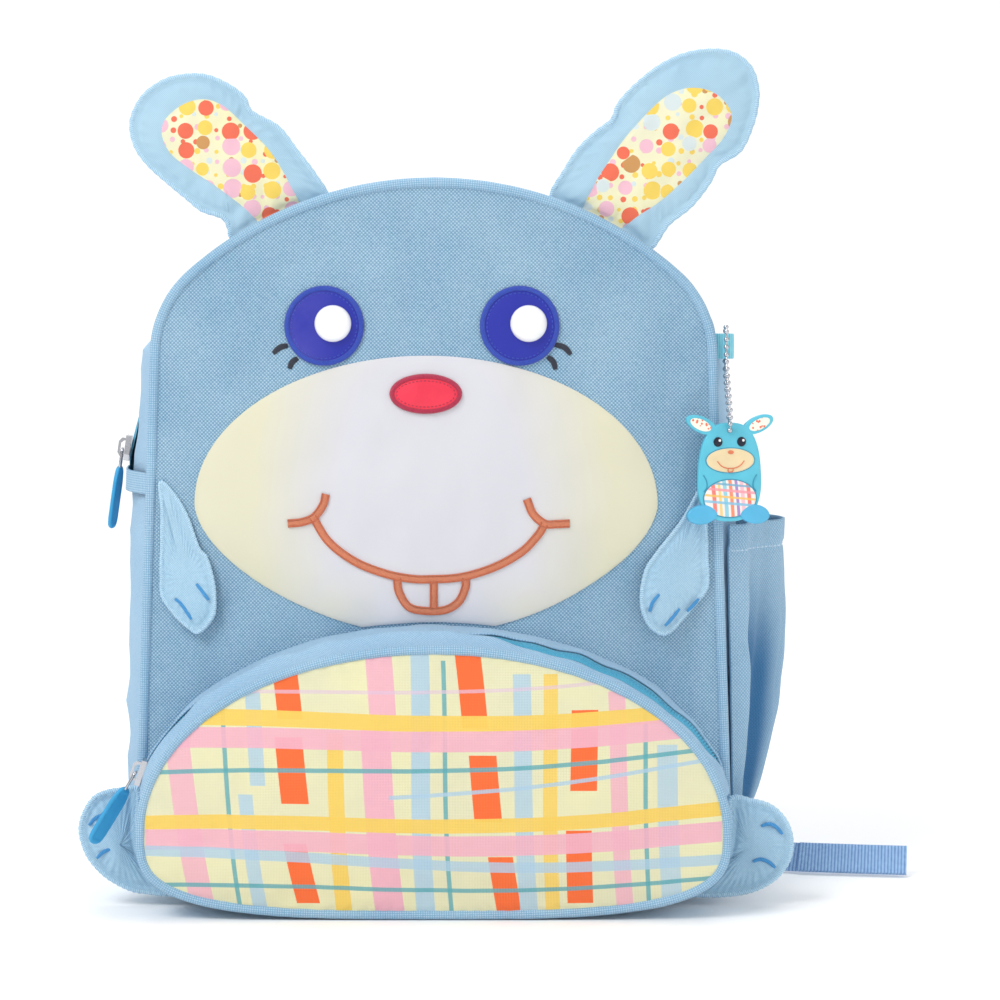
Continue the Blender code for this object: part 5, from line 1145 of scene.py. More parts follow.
ears = dict(
    left=dict(line=((-49, 325.7), (-54.6, 336.3), (-62.8, 347.1), (-71.2, 357.7), (-83.3, 364.7),
                    (-87, 371.6), (-94.5, 377.1), (-103.8, 380.9), (-113.1, 381.2), (-122.5, 379.0),
                    (-131.7, 372.8), (-136.9, 364.2), (-137.9, 356.8), (-135.6, 348.5), (-130.1, 341),
                    (-121.9, 333.6), (-112.4, 325.7), (-105.9, 320.5), (-96.8, 317.3), (-93.8, 313),
                    (-91.5, 306.8), (-82, 312.4), (-71, 317.4), (-60, 321.6)),
              middle=(-96, 347), base=(-71, 317), axis=(-0.651, 0.759), aside=(0.759, 0.651),
              inner=((-8, 8), (9.6, 14.1), (25.8, 16.7), (42.6, 15.5), (55.2, 13.8), (63.2, 8.7),
                     (67.2, -0.2), (67.1, -10.3), (62.4, -16.2), (53.6, -18.4), (41.7, -16.1), (30.1, -12.7),
                     (14, -9.2), (-4, -6.5)),
              creases=((-83, 366.8, -93, 359.5, 2.6, 1.9), (-95.5, 316.5, -86, 324, 2.8, 1.8),
                       (-60, 327, -67, 341, 3.0, 0.9), (-76, 320, -80, 334, 2.6, 0.9),
                       (-88, 343, -104, 349, 4.0, 0.8), (-104, 322, -110, 334, 2.8, 0.8))),
    right=dict(line=((54.2, 325.6), (61, 339.1), (67.3, 348.5), (75.6, 356.3), (81.9, 361.2), (85, 368.5),
                     (92.3, 376.6), (102.8, 385), (114.3, 390.6), (126.8, 392.6), (137.3, 391.0),
                     (144.6, 385), (147.6, 376.6), (147.6, 368.5), (145.4, 358.9), (140.0, 347.6),
                     (130.3, 341.2), (126, 333), (117.8, 322.5), (107.4, 314), (98.6, 302.6), (88, 309.4),
                     (77, 315.0), (66, 319.6)),
               middle=(104, 350), base=(77, 317), axis=(0.567, 0.824), aside=(0.824, -0.567),
               inner=((-6, -7), (10.2, -11.2), (23.9, -11.8), (36.7, -11.7), (51.9, -9.6), (62.6, -6.8),
                      (70.6, -0.9), (74.9, 7.4), (74.8, 16.4), (70.6, 23.2), (60.6, 25.2), (48.3, 23.6),
                      (35.1, 21.3), (21.4, 18), (10.8, 13.7), (-4, 7.4)),
               creases=((81, 363.8, 92, 360, 2.6, 1.9), (130.5, 341.2, 120, 346.5, 2.8, 1.9),
                        (144, 378, 136, 374, 2.6, 1.4), (101, 307, 97, 322, 3.0, 1.4),
                        (64, 330, 72, 343, 2.8, 0.9), (84, 319, 86, 336, 2.6, 0.9),
                        (112, 320, 108, 334, 2.6, 0.8), (96, 366, 108, 360, 4.0, 0.7))),
    depth=-0.0444, edge=0.0009, puff=0.0032, flange=0.0026, rope=0.0012)


def edgeDistance(line, flat):
    # the distance to a closed outline, over 0 inside it, by even and odd crossings
    p = flat.reshape(-1, 1, 2)
    a, b = line[None], np.roll(line, -1, 0)[None]
    d = b - a
    t = np.clip(((p - a) * d).sum(-1) / np.maximum((d * d).sum(-1), 1e-18), 0, 1)
    away = np.linalg.norm(p - a - t[..., None] * d, axis=-1).min(1)
    cross = (a[..., 1] > p[..., 1]) != (b[..., 1] > p[..., 1])
    with np.errstate(divide="ignore", invalid="ignore"):
        at = a[..., 0] + (p[..., 1] - a[..., 1]) * d[..., 0] / d[..., 1]
    odd = (cross & (p[..., 0] < at)).sum(1) % 2
    return (np.where(odd == 1, 1, -1) * away).reshape(flat.shape[:-1])


def creaseDepth(flat, creases):
    # gaussian valleys about line pieces given as x, z, x, z, width, depth in millimetres
    total = np.zeros(flat.shape[:-1])
    for ax, az, bx, bz, width, deep in creases:
        a, d = np.array([ax, az]) * mm, np.array([bx - ax, bz - az]) * mm
        t = np.clip(((flat - a) @ d) / (d @ d), 0, 1)
        away = np.linalg.norm(flat - a - t[..., None] * d, axis=-1)
        total += deep * mm * np.exp(-(away / (width * mm)) ** 2) * (1 - 0.7 * t)
    return total


def flap(name, part, kind, mid, node, look, inner=None, slack=0.0006, seed=1, fall=0.008):
    # both faces stand off the surface mid by edge + puff (1 - exp(-(d - flange) / fall)), with a groove at
    # the flange, d being the distance from the outline. The front's rings run outwards, the back's inwards
    count, rimCount, rimSides = 216, 340, 10
    edge, puff, flange, rope = (kind[key] for key in ("edge", "puff", "flange", "rope"))
    line = closedCurve(np.array(part["line"]) * mm, count)
    middle = np.array(part["middle"]) * mm
    flat, _ = discGrid(line, middle, 29)
    d = edgeDistance(line, flat)
    d[0] = 0
    rise = edge + puff * (1 - np.exp(-np.clip(d - flange, 0, None) / fall))
    rise = rise - 0.0007 * np.exp(-((d - flange) / 0.0009) ** 2)
    turn = turns(count)
    pucker = np.sin(turn * 37 + 2 * np.sin(turn * 4)) * np.exp(-((d - flange * 1.4) / 0.003) ** 2) * 0.0003
    rough = slack * softNoise(flat[..., 0], flat[..., 1], 0.016, seed) * np.clip(d / 0.006, 0, 1)
    deep = creaseDepth(flat, part.get("creases", ()))
    bend = 0.0009 * softNoise(flat[..., 0], flat[..., 1], 0.05, seed + 50)
    front = np.clip(rise + pucker + rough - deep, 0.0003, None)
    back = np.clip(rise - pucker - rough * 0.5 + deep * 0.2, 0.0003, None)
    centre = mid(flat[..., 0], flat[..., 1]) + bend * np.clip(d / 0.02, 0, 1)
    grid = np.stack([np.broadcast_to(flat[..., 0], d.shape), centre - front, flat[..., 1]], -1)[::-1]
    other = np.stack([flat[..., 0], centre + back, flat[..., 1]], -1)[1:]
    whole = np.concatenate([grid, other])
    sheetFlat = np.concatenate([flat[::-1], flat[1:]])
    fields = None
    if inner is not None:
        inside = edgeDistance(inner, flat)
        whole[:len(grid), :, 1] += (0.0006 * np.exp(-(inside / 0.0008) ** 2))[::-1]
        fields = dict(inner=np.concatenate([inside[::-1], np.full_like(inside[1:], -1)]))
    piece = makePiece(name, whole, look, "flap_cloth", [node], wrap=True, poles=(True, True),
                      uv=planeUv(sheetFlat), inside=(middle[0], mid(middle[0], middle[1]), middle[1]),
                      fields=fields)
    # the overlocked rim: a cord whose radius is 1 + 0.1 cos of a twist along it
    path = spaced(line, rimCount, True)
    path = np.stack([path[:, 0], mid(path[:, 0], path[:, 1]), path[:, 1]], -1)
    twist = np.arange(rimCount)[:, None] * 2 * np.pi * 0.19 + turns(rimSides)
    size = rope * (1 + 0.10 * np.cos(twist))
    grid = along(path, ring(1.0, rimSides) * size[..., None], (0, 1, 0), closed=True)
    makePiece(name + "Rim", grid, mergeThread, "flap_cloth", wrap=True, join=True,
              uv=cordUv(path, rimSides, rope))


def levelAt(y):
    return lambda x, z: np.full(np.shape(x), y)


def makeEars():
    for side in ("left", "right"):
        ear = ears[side]
        base, axis, aside = (np.array(ear[key]) for key in ("base", "axis", "aside"))
        inner = np.array(ear["inner"])
        inner = closedCurve((base + inner[:, :1] * axis + inner[:, 1:] * aside) * mm, 160)
        flap("ear" + side.title(), ear, ears, levelAt(ears["depth"]), "ear_" + side, earCloth, inner,
             seed=61 if side == "left" else 67)


arms = dict(
    left=dict(line=((-125.2, 195.6), (-119.2, 190.4), (-113.3, 180.6), (-107.9, 166.1), (-104.2, 161.5),
                    (-101.1, 151.6), (-100.2, 142.4), (-101.1, 134.8), (-107.4, 127.7), (-111.9, 129.5),
                    (-118.7, 135.5), (-124.2, 143.3), (-124.9, 152), (-124.6, 168), (-124.4, 184)),
              middle=(-114, 152), lines=(((-118.5, 142.5), (-115.5, 140.1), (-110.8, 133.4)),
                                         ((-108.6, 149.6), (-106.5, 147.2), (-102.8, 142.4))),
              creases=((-116, 178, -110, 166, 2.6, 0.5), (-124, 160, -116, 156, 3, 0.5))),
    right=dict(line=((124.6, 195.2), (114.2, 178.7), (101.5, 162.7), (96.9, 154.8), (95.1, 141.9),
                     (98.4, 131.3), (104.4, 126.7), (108.5, 128.1), (113.5, 133.2), (121.6, 142.0),
                     (125.6, 148.5), (125.4, 160), (124.9, 176)),
               middle=(111, 152), lines=(((105.9, 130.5), (108.6, 133.2), (112.7, 138.2)),
                                         ((116.3, 136.8), (119.2, 139.6), (121.7, 142.4)),
                                         ((98.6, 137.3), (100.2, 141.6), (103.1, 145.1))),
               creases=((113, 178, 106, 170, 2.6, 0.5), (124, 160, 116, 157, 3, 0.5))),
    lift=0.0052, edge=0.0008, puff=0.0009, flange=0.0020, rope=0.0010)


def makeArms():
    # an arm lies on the panel by the seam and lifts off it outwards and downwards
    for side, sign in (("left", -1), ("right", 1)):
        arm = arms[side]

        def mid(x, z, sign=sign):
            inwards = np.clip((0.1262 - sign * x) / 0.030, 0, 1)
            down = np.clip((0.196 - z) / 0.066, 0, 1)
            return frontY(x, z) - 0.0012 - arms["lift"] * inwards * down
        flap("arm" + side.title(), arm, arms, mid, "arm_" + side, flapCloth, slack=0.0003, seed=71,
             fall=0.005)
        for index, line in enumerate(arm["lines"]):
            band("finger" + side.title() + str(index + 1), np.array(line) * mm,
                 lambda x, z, mid=mid: mid(x, z) - arms["edge"] - 0.0007, blueThread, "flap_cloth", 0.0017,
                 0.0004, 40, taper=0.3)


feet = dict(
    left=dict(line=((-136.4, 53.6), (-143.1, 53.9), (-150, 53), (-156, 50.2), (-160.4, 43.7), (-162.4, 36.2),
                    (-161.2, 28.8), (-157.6, 21.3), (-150.3, 13.8), (-140.1, 8.2), (-132.9, 6.8), (-122, 5.6),
                    (-112, 5.6), (-120, 9.8), (-128.5, 15.0), (-134.5, 24), (-136.8, 38)), middle=(-144, 29)),
    right=dict(line=((137.0, 49.9), (146.6, 48.9), (155.5, 46), (162.1, 39.2), (164.8, 30.3), (163.5, 21.4),
                     (157.2, 12.9), (146.9, 7.4), (135.1, 5.4), (122, 5.2), (112, 5.4), (120, 9.6),
                     (128.5, 15.0), (134.5, 24), (136.8, 38)),
               middle=(146, 28)),
    depth=-0.0556, edge=0.0010, puff=0.0016, flange=0.0030, rope=0.0013)
feet["toes"] = dict(left=(((-148.4, 42.4), (-151.5, 42.8), (-155.6, 41.2), (-158.6, 38.0)),
                          ((-144.3, 27.0), (-148.2, 27.1), (-152.4, 25.2), (-155.0, 22.6))),
                    right=(((150.8, 37.6), (154.6, 38.5), (158.0, 37.0), (160.6, 33.8)),
                           ((147.0, 21.0), (150.6, 22.1), (154.4, 20.8), (157.4, 18.2))))


def makeFeet():
    for side in ("left", "right"):
        foot = feet[side]
        flap("foot" + side.title(), foot, feet, levelAt(feet["depth"]), "foot_" + side, flapCloth,
             slack=0.0003, seed=81, fall=0.006)
        for index, line in enumerate(feet["toes"][side]):
            band("toe" + side.title() + str(index + 1), np.array(line) * mm,
                 levelAt(feet["depth"] - feet["edge"] - 0.0014), blueThread, "flap_cloth",
                 0.0018, 0.0004, 40, taper=0.3)


makeEars()
makeArms()
makeFeet()
print("ears, arms and feet made")


# the gathered side pocket, on the right of the gusset

sidePocket = dict(low=0.022, high=0.1757, hem=0.1635, swell=0.0205, wall=0.0014,
                  folds=((0.05, 0.02), (0.10, 0.35), (0.18, 0.26), (0.28, 0.55), (0.42, 0.95), (0.60, 1.00),
                         (0.76, 0.72), (0.90, 0.36), (0.95, 0.02)),
                  rows=((0.00, 0.04), (0.14, 0.38), (0.33, 0.78), (0.55, 1.00), (0.78, 1.02), (1.00, 0.92)),
                  dents=((0.205, 0.0065, 0.045, 0.75), (0.275, 0.0040, 0.026, 0.6),
                         (0.42, 0.0022, 0.030, 0.6), (0.56, 0.0018, 0.026, 0.5)))


def gussetOut(behind, level):
    # how far out the gusset's cloth stands at a depth behind the front seam and a level on the right side
    right = (seam[:, 0] > 0.09) & (seam[:, 1] < 0.26)
    order = np.argsort(seam[right][:, 1])
    x = np.interp(level, seam[right][order, 1], seam[right][order, 0])
    swell = bag["depth"] * np.interp(level / bag["height"], gussetBands["levels"], gussetBands["swells"])
    crown = 1 - np.abs(2 * behind / bag["depth"] - 1) ** 2.2
    normal = np.interp(level, seam[right][order, 1], seamNormal[right][order, 0])
    return x + swell * crown * normal


def makeSidePocket():
    # the stand-off is one curve across the depth times one up the height, less upright valleys
    columns, count, hem = 160, 100, sidePocket["hem"]
    across = openCurve(sidePocket["folds"], columns)
    up = openCurve(sidePocket["rows"], count)
    behind = across[:, 0] * bag["depth"]
    height = np.linspace(0, 1, count)
    level = sidePocket["low"] + height * (sidePocket["high"] - sidePocket["low"])
    rows = np.interp(height, up[:, 0], up[:, 1])
    away = sidePocket["swell"] * rows[:, None] * across[None, :, 1]
    height = height[:, None]
    for place, deep, width, fade in sidePocket["dents"]:
        valley = np.exp(-((across[None, :, 0] - place + 0.015 * (1 - height)) / width) ** 2)
        fading = 1 - fade * np.clip((height - 0.7) / 0.3, 0, 1)
        away = away - deep * valley * np.exp(-((height - 0.40) / 0.42) ** 2) * fading
    rough = 0.0006 * softNoise(behind[None, :], level[:, None] * 0.5, 0.016, 91)
    away = away + rough * np.clip(away / 0.006, 0, 1)
    away = np.clip(away, 0.0002, None)
    sink = 0.0012 * np.exp(-((level - hem) / 0.0012) ** 2)[:, None] * np.clip(away / 0.004, 0, 1) * 0.5
    puffed = 0.0006 * ease((level[:, None] - hem - 0.0005) / 0.003)
    x = gussetOut(behind[None, :], level[:, None]) + 0.0006 + away + sidePocket["wall"] - sink + puffed
    grid = np.stack([x, np.broadcast_to(bag["front"] + behind[None, :], x.shape),
                     np.broadcast_to(level[:, None], x.shape)], -1)
    uv = pairs(lengthOf(grid[:, columns // 2]), lengthOf(grid[count // 2]))
    # painted shade: deep says how strongly the dark blue shade is painted into the fold's recess behind the
    # front ridge, less on the outer bulge and towards the top and bottom
    outerShare = np.clip((away / (sidePocket["swell"] * rows[:, None] + 1e-6) - 0.45) / 0.55, 0, 1)
    station = across[None, :, 0]
    fold = ease((station - 0.13) / 0.06) * ease((0.56 - station) / 0.10) * (1 - ease(outerShare) * 0.92)
    deep = 0.90 * fold * ease((0.92 - height) / 0.40) * ease(height / 0.06 + 0.3)
    piece = makePiece("sidePocketCloth", grid, pocketClothPaintedShade, "body_cloth", ["side_pocket"], uv=uv,
                      inside=(0.0, 0, 0.1), wall=0.0012, fields=dict(deep=deep))

    def place(flat, rise):
        # flat is (run across, level) on the pocket's face
        row, at = np.argmin(np.abs(level - hem)), np.linspace(0, 1, columns)
        x, y = (np.interp(flat[..., 0], at, grid[row, :, axis]) for axis in (0, 1))
        return np.stack([x + rise, y, flat[..., 1]], -1)
    # 46 stitches, each 7.5 thousandths of the way across to both sides
    t = np.linspace(0.03, 0.97, 46)
    t = t[:, None, None]
    flat = np.stack([t + stitchU[None] * 0.0075, hem + stitchV[None] * 0.00035 + 0 * t], -1)
    rise = np.broadcast_to(0.0004 * stitchHigh, flat.shape[:-1])
    makeMany("hemStitch", place(flat, rise), bodyThread, "body_cloth")


# the pocket's cloth, with a dark saturated blue painted into its folds as shade
pocketClothPaintedShade = wovenLook("pocket cloth", rgb(124, 172, 208), rgb(186, 216, 236), 0.0017, 0.0003,
                     deep=rgb(22, 102, 156))
makeSidePocket()
print("side pocket made")


# zip pulls: a wire link in the slider's bail, and a moulded tab on the link

pulls = dict(
    main=dict(body="main_pull", node="main_zip_pull", pivot=(-0.14746, 0.0, 0.20802),
              middle=(-0.15074, 0.0, 0.18541), length=(-0.143, 0.0, -0.990), width=(0.263, 0.964, -0.038)),
    pocket=dict(body="pocket_pull", node="pocket_zip_pull", pivot=(-0.1357, -0.07314, 0.0647),
                middle=(-0.1476, -0.07314, 0.04519), length=(-0.521, 0.0, -0.854),
                width=(-0.567, -0.747, 0.346)),
    long=0.0303, wide=0.0090, thick=0.0026, wire=0.00065)


def makePulls():
    for key in ("main", "pocket"):
        pull = pulls[key]
        length, width = unit(np.array(pull["length"])), unit(np.array(pull["width"]))
        width = unit(width - length * (width @ length))
        thick = np.cross(length, width)
        pivot, middle = np.array(pull["pivot"]), np.array(pull["middle"])
        # the link: (cos a, sin a) to the power 0.5, in the plane of the pull and the depth axis
        shape = rounded(turns(72), 0.0021, 0.0046, 0.0046, 4.0, 4.0)
        path = pivot + length * 0.0042 + np.array([0, 1.0, 0]) * shape[:, :1] + length * shape[:, 1:]
        normal = np.cross(length, [0, 1.0, 0])
        makePiece(key + "PullLink", along(path, ring(pulls["wire"], 10), normal, closed=True), nickel,
                  "nickel", wrap=True, join=True, body=pull["body"], uv=cordUv(path, 10, pulls["wire"]))
        # the tab: superellipse sections with widths and thicknesses of (1 - t^p)^(1/2), hollow in the middle
        t = np.linspace(-1, 1, 61)
        t = np.sign(t) * (1 - (1 - np.abs(t)) ** 1.8)
        half = pulls["wide"] / 2 * np.sqrt(np.clip(1 - np.abs(t) ** 7, 0.02, 1))
        half = half * np.where(t < 0, 0.80 + 0.20 * ease((t + 1) * 1.6), 1)
        deep = pulls["thick"] / 2 * np.sqrt(np.clip(1 - np.abs(t) ** 16, 0.02, 1))
        section = sectionOf(48, 3.4)
        w = half[:, None] * section[None, :, 0]
        d = deep[:, None] * section[None, :, 1]
        hollow = 1 - 0.26 * ease((0.74 - np.abs(section[None, :, 0])) * 9) * ease((0.86 - np.abs(t[:, None]))
                * 14)
        d = d * hollow
        grid = middle + length * (t[:, None, None] * pulls["long"] / 2)
        grid = grid + width * w[..., None] + thick * d[..., None]
        makePiece(key + "PullTab", grid, pullRubber, "pull_rubber", [pull["node"]], wrap=True,
                  poles=(True, True), body=pull["body"], inside=middle)


makePulls()
for node, look in (("main_zip_slider", nickel), ("pocket_zip_slider", nickel),
                   ("ladder_lock_left", lockPlastic), ("ladder_lock_right", lockPlastic)):
    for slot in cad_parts[node].material_slots:
        slot.material = look
print("zip pulls made")


# the charm: a flat moulded rabbit on a ball chain, in a ribbon loop sewn into the side seam

charm = dict(hole=(0.13486, -0.0595, 0.2200), drop=0.01927, wide=0.0155, tall=0.0235, thick=0.0014, turn=12.0,
             bands=((0, -8.8, 0.9, (236, 96, 80)), (0, -6.0, 0.6, (250, 200, 90)),
                    (0, -3.4, 0.9, (120, 200, 220)), (0, -0.6, 0.8, (240, 120, 70)),
                    (0, 2.2, 0.7, (150, 110, 190)), (0, 4.8, 0.9, (244, 180, 196)),
                    (0, 7.8, 0.9, (240, 90, 80)), (1, -14.0, 0.6, (120, 190, 220)),
                    (1, -11.2, 0.5, (250, 190, 90)), (1, -8.2, 0.6, (246, 150, 160)),
                    (1, -5.5, 0.5, (110, 170, 200))))


def charmPlace(x, y, z):
    # the charm's own right, up and forwards turned 12 degrees about the upright line through its hole
    c, s = math.cos(math.radians(charm["turn"])), math.sin(math.radians(charm["turn"]))
    hole = charm["hole"]
    return np.stack([hole[0] + x * c + z * s, hole[1] + x * s - z * c, hole[2] + (y - charm["drop"]) + 0 * x],
                    -1)


def charmPlate(name, line, low, high, look, nodes=(), dome=0.0, edge=0.0004, rows=12):
    # a plate with a rounded edge: the face stands dome sqrt(1 - share^2) over high, the back lies at low
    middle = line.mean(0)
    flat, share = discGrid(line, middle, rows)
    top = high + dome * np.sqrt(np.clip(1 - share**2, 0, 1))
    out = unit(line - np.roll(line, 1, 0))
    out = np.stack([out[:, 1], -out[:, 0]], -1)
    shrink = [(-edge, low), (0, low + edge), (0, high - edge), (-edge * 0.3, high - edge * 0.3),
              (-edge, high)]
    rim = np.stack([np.concatenate([line + out * o, np.full((len(line), 1), z)], -1) for o, z in shrink])
    flat = middle + (flat - middle) * (1 - edge / 0.006)
    upper = np.concatenate([flat, np.broadcast_to(top[:, None, None], flat.shape[:-1] + (1,))], -1)[1:]
    lower = np.concatenate([flat[::-1], np.full(flat.shape[:-1] + (1,), low)], -1)[:-1]
    grid = np.concatenate([lower, rim, upper])
    points = charmPlace(grid[..., 0], grid[..., 1], grid[..., 2])
    makePiece(name, points, look, "charm_rubber", nodes, wrap=True, poles=(True, True), sharp=50,
              inside=charmPlace(middle[0], middle[1], (low + high) / 2), uv=planeUv(grid[..., :2]))


def charmEllipse(x, y, radius, flatten, turn, count=64):
    a = turns(count)
    c, s = math.cos(math.radians(turn)), math.sin(math.radians(turn))
    u, v = radius * np.cos(a), radius * flatten * np.sin(a)
    return np.stack([x + u * c - v * s, y + u * s + v * c], -1)


def bellyLook():
    # a small check of bands in mixed colours, by the wave of the shape's own across and up
    look = Look("charm belly", 0.45, coat=0.2)
    u, v, _ = look.axes(look.cloth())
    colour = rgb(240, 232, 226)
    for upright, at, half, ink in charm["bands"]:
        lean = look.math("MULTIPLY_ADD", u if upright else v, 0.10, v if upright else u)
        colour = look.mix(look.math("MULTIPLY", look.math("COMPARE", lean, at * mm, half * mm), 0.85), colour,
                          rgb(*ink))
    return look.done(colour, look.bump(look.noise(900.0), 0.00003))


def charmEarLook():
    look = Look("charm ear", 0.5)
    mask = look.math("LESS_THAN", look.cells(look.place(), 620.0)[0], 0.34)
    return look.done(look.mix(mask, rgb(246, 242, 226), rgb(236, 120, 96)),
                     look.bump(look.noise(900.0), 0.00003))


def makeCharm():
    w, h, t = charm["wide"], charm["tall"], charm["thick"]
    a = np.linspace(0, 2 * np.pi, 721)[:-1]
    body = spaced(rounded(a, w * 0.94, h * 0.97, h * 0.95, 2.7, 2.5), 150, True)
    body[:, 0] *= 1.02 - 0.10 * body[:, 1] / h
    charmPlate("charmBody", body, -t, t, charmBlue, ["charm"], dome=0.0002)
    for side, s in (("Left", -1), ("Right", 1)):
        for name, line, low, high, look, dome, edge, rows in (
                ("Ear", (s * 0.86 * w, 0.93 * h, 0.50 * w, 0.48, s * 24), -t * 0.9, t * 0.95, charmBlue, 0.0,
                 0.0004, 12),
                ("EarInner", (s * 0.90 * w, 0.935 * h, 0.34 * w, 0.46, s * 24, 40), 0, t * 1.1, charmEar, 0.0,
                 0.0002, 12),
                ("Foot", (s * 0.80 * w - 0.0006, -0.81 * h, 0.46 * w, 0.62, -s * 8), -t * 0.9, t * 1.5,
                 charmFoot, 0.0003, 0.0004, 12),
                ("Eye", (s * 0.36 * w - 0.0003, 0.60 * h, 0.0021, 1.05, 0, 40), 0, t + 0.0005, charmInk,
                 0.0003, 0.0002, 12),
                ("Glint", (s * 0.36 * w + 0.0004, 0.60 * h + 0.0007, 0.0006, 1, 0, 20), 0, t + 0.0010,
                 whiteDome, 0.0, 0.0001, 5)):
            charmPlate("charm" + name + side, charmEllipse(*line), low, high, look, dome=dome, edge=edge,
                       rows=rows)
    for name, line, high, look, dome, edge in (
            ("MuzzleEdge", (0, 0.24 * h, 0.0118, 0.50, 0), 0.0004, charmEdge, 0.0, 0.0002),
            ("Muzzle", (0, 0.24 * h, 0.0113, 0.49, 0), 0.0005, charmTan, 0.0005, 0.0002),
            ("Nose", (0, 0.40 * h, 0.0014, 0.62, 0, 32), 0.0012, charmCoral, 0.0002, 0.0001),
            ("BellyEdge", (0, -0.50 * h, 0.0128, 0.70, 0), 0.0004, charmEdge, 0.0, 0.0002),
            ("Belly", (0, -0.50 * h, 0.0123, 0.69, 0), 0.0005, charmBelly, 0.0006, 0.0002)):
        charmPlate("charm" + name, charmEllipse(*line), 0, t + high, look, dome=dome, edge=edge)

    def drawn(name, line, width, look, high, count=40):
        # a fine raised line on the charm's face
        line = openCurve(np.array(line) * mm, count)
        o = np.linspace(-1, 1, 7)
        flat = line[:, None] + sideOf(line)[:, None] * (o[None, :, None] * width / 2)
        z = high + 0.00025 * np.sqrt(1 - o**2) - np.where(np.abs(o) == 1, 0.0003, 0)
        makePiece(name, charmPlace(flat[..., 0], flat[..., 1], np.broadcast_to(z, flat.shape[:-1])), look,
                  "charm_rubber", inside=(charm["hole"][0], 0.0, 0.2))
    top = t + 0.00095
    drawn("charmSmile", ((-6.4, 5.4), (-4.4, 3.2), (-1.6, 2.1), (1.6, 2.1), (4.4, 3.2), (6.4, 5.4)), 0.0006,
          charmCoral, top)
    drawn("charmTeeth", ((-1.2, 2.1), (-1.1, 0.7), (0, 0.3), (1.1, 0.7), (1.2, 2.1)), 0.0005, charmCoral,
          top - 0.0001)
    for side, s in (("Left", -1), ("Right", 1)):
        drawn("charmArm" + side, ((s * 12.6, -1.0), (s * 11.2, -3.6), (s * 11.0, -6.4), (s * 12.4, -8.6)),
              0.0006, charmEdge, t + 0.0002)


charmBelly = bellyLook()
charmEar = charmEarLook()
makeCharm()

chain = dict(ball=0.0012, pitch=0.00345, wire=0.0004)
loop = dict(level=0.258, width=0.0115, thick=0.0009)


def makeChain():
    # balls on a closed line that passes through the charm's hole and over the loop
    hx, hy, hz = charm["hole"]
    middle, front, inside = -0.0444, -0.0491, 0.1341
    level, half, r, plate = loop["level"], loop["width"] / 2, chain["ball"], 0.0032
    over = level + half + r + 0.0003
    route = ((inside, middle, level), (inside, middle, over - r),
             (inside, (middle + front) / 2, over + r * 1.3), (inside, front - r, over - r),
             (inside, front - r * 1.5, level - half), (hx, hy - plate - r, hz + 0.009),
             (hx, hy - plate - r * 0.5, hz + 0.003), (hx, hy - plate * 0.7, hz + 0.0002),
             (hx, hy, hz - 0.0004), (hx, hy + plate * 0.7, hz + 0.0002),
             (hx, hy + plate + r * 0.5, hz + 0.003), (hx, hy + plate + r, hz + 0.009),
             (inside, middle - r * 0.5, level - half - 0.006))
    line = closedCurve(route, 900)
    total = np.linalg.norm(np.roll(line, -1, 0) - line, axis=1).sum()
    centres = closedCurve(route, int(total / chain["pitch"]))
    tilt = np.linspace(0.22, np.pi - 0.22, 9)
    turn = turns(14)
    ball = np.stack([np.sin(tilt)[:, None] * np.cos(turn), np.sin(tilt)[:, None] * np.sin(turn),
                     np.broadcast_to(np.cos(tilt)[:, None], (9, 14))], -1) * chain["ball"]
    makeMany("chainBalls", centres[:, None, None] + ball[None], nickel, "nickel", ["charm_chain"], wrap=True,
             caps=True)
    path = closedCurve(route, 400)
    makePiece("chainWire", along(path, ring(chain["wire"], 6), (1, 0, 0), closed=True), nickel, "nickel",
              wrap=True, join=True, uv=cordUv(path, 6, chain["wire"]))


makeChain()


def bandAlong(name, path, across, width, thick, look, slotName, nodes=()):
    # a flat band with rounded edges: a superellipse section with its width along the across directions
    tangent = unit(np.gradient(path, axis=0))
    normal = unit(np.cross(tangent, np.broadcast_to(across, path.shape)))
    side = np.cross(normal, tangent)
    section = sectionOf(28, 5.0)
    grid = path[:, None] + side[:, None] * section[None, :, :1] * width / 2 \
        + normal[:, None] * section[None, :, 1:] * thick / 2
    uv = pairs(lengthOf(path), np.append(section[:, 0], section[0, 0]) * width / 2)
    makePiece(name, grid, look, slotName, nodes, wrap=True, poles=(True, True), uv=uv, sharp=60)


def makeLoop():
    near, half = -0.04685, 0.00245
    middle, tip = near + half, 0.13765
    turn = np.radians([-60, -20, 20, 60])
    line = [(0.1290, near), (0.1320, near), (tip - half, near)]
    line += [(tip - half + half * math.cos(a), middle + half * math.sin(a)) for a in turn]
    line += [(tip - half, middle + half), (0.1325, middle + half), (0.1296, middle + half)]
    line = openCurve(line, 90)
    path = np.stack([line[:, 0], line[:, 1], np.full(90, loop["level"])], -1)
    bandAlong("ribbonLoop", path, (0, 0, 1.0), loop["width"], loop["thick"], ribbonRibbed, "ribbon",
              ["charm_loop"])


ribbonRibbed = ribbedLook("ribbed ribbon", rgb(100, 194, 222), rgb(154, 224, 238), 0.0011, 0.0002)
makeLoop()
print("charm made")


# the back: padded straps, webbing, anchors and the grab handle

strap = dict(rows=((0.285, 0.205, 0.860, 0.90), (0.345, 0.310, 0.800, 1.00), (0.440, 0.360, 0.680, 1.00),
                   (0.530, 0.350, 0.520, 1.00), (0.600, 0.300, 0.380, 0.82), (0.632, 0.255, 0.312, 0.56)),
             width=0.046, thick=0.0078, tape=0.0022)
webbing = dict(width=0.015, thick=0.0014, tilt=35.0, reach=0.229, bar=0.003, slot=0.005,
               right=((0.03, 0.35, 0.54), (0.10, 0.37, 0.21), (0.27, 0.26, 0.02), (0.45, -0.04, 0.00),
                      (0.60, -0.20, 0.00), (0.80, -0.27, 0.00), (1.00, -0.32, 0.00)),
               left=((0.01, 0.33, 0.56), (0.02, 0.35, 0.36)))


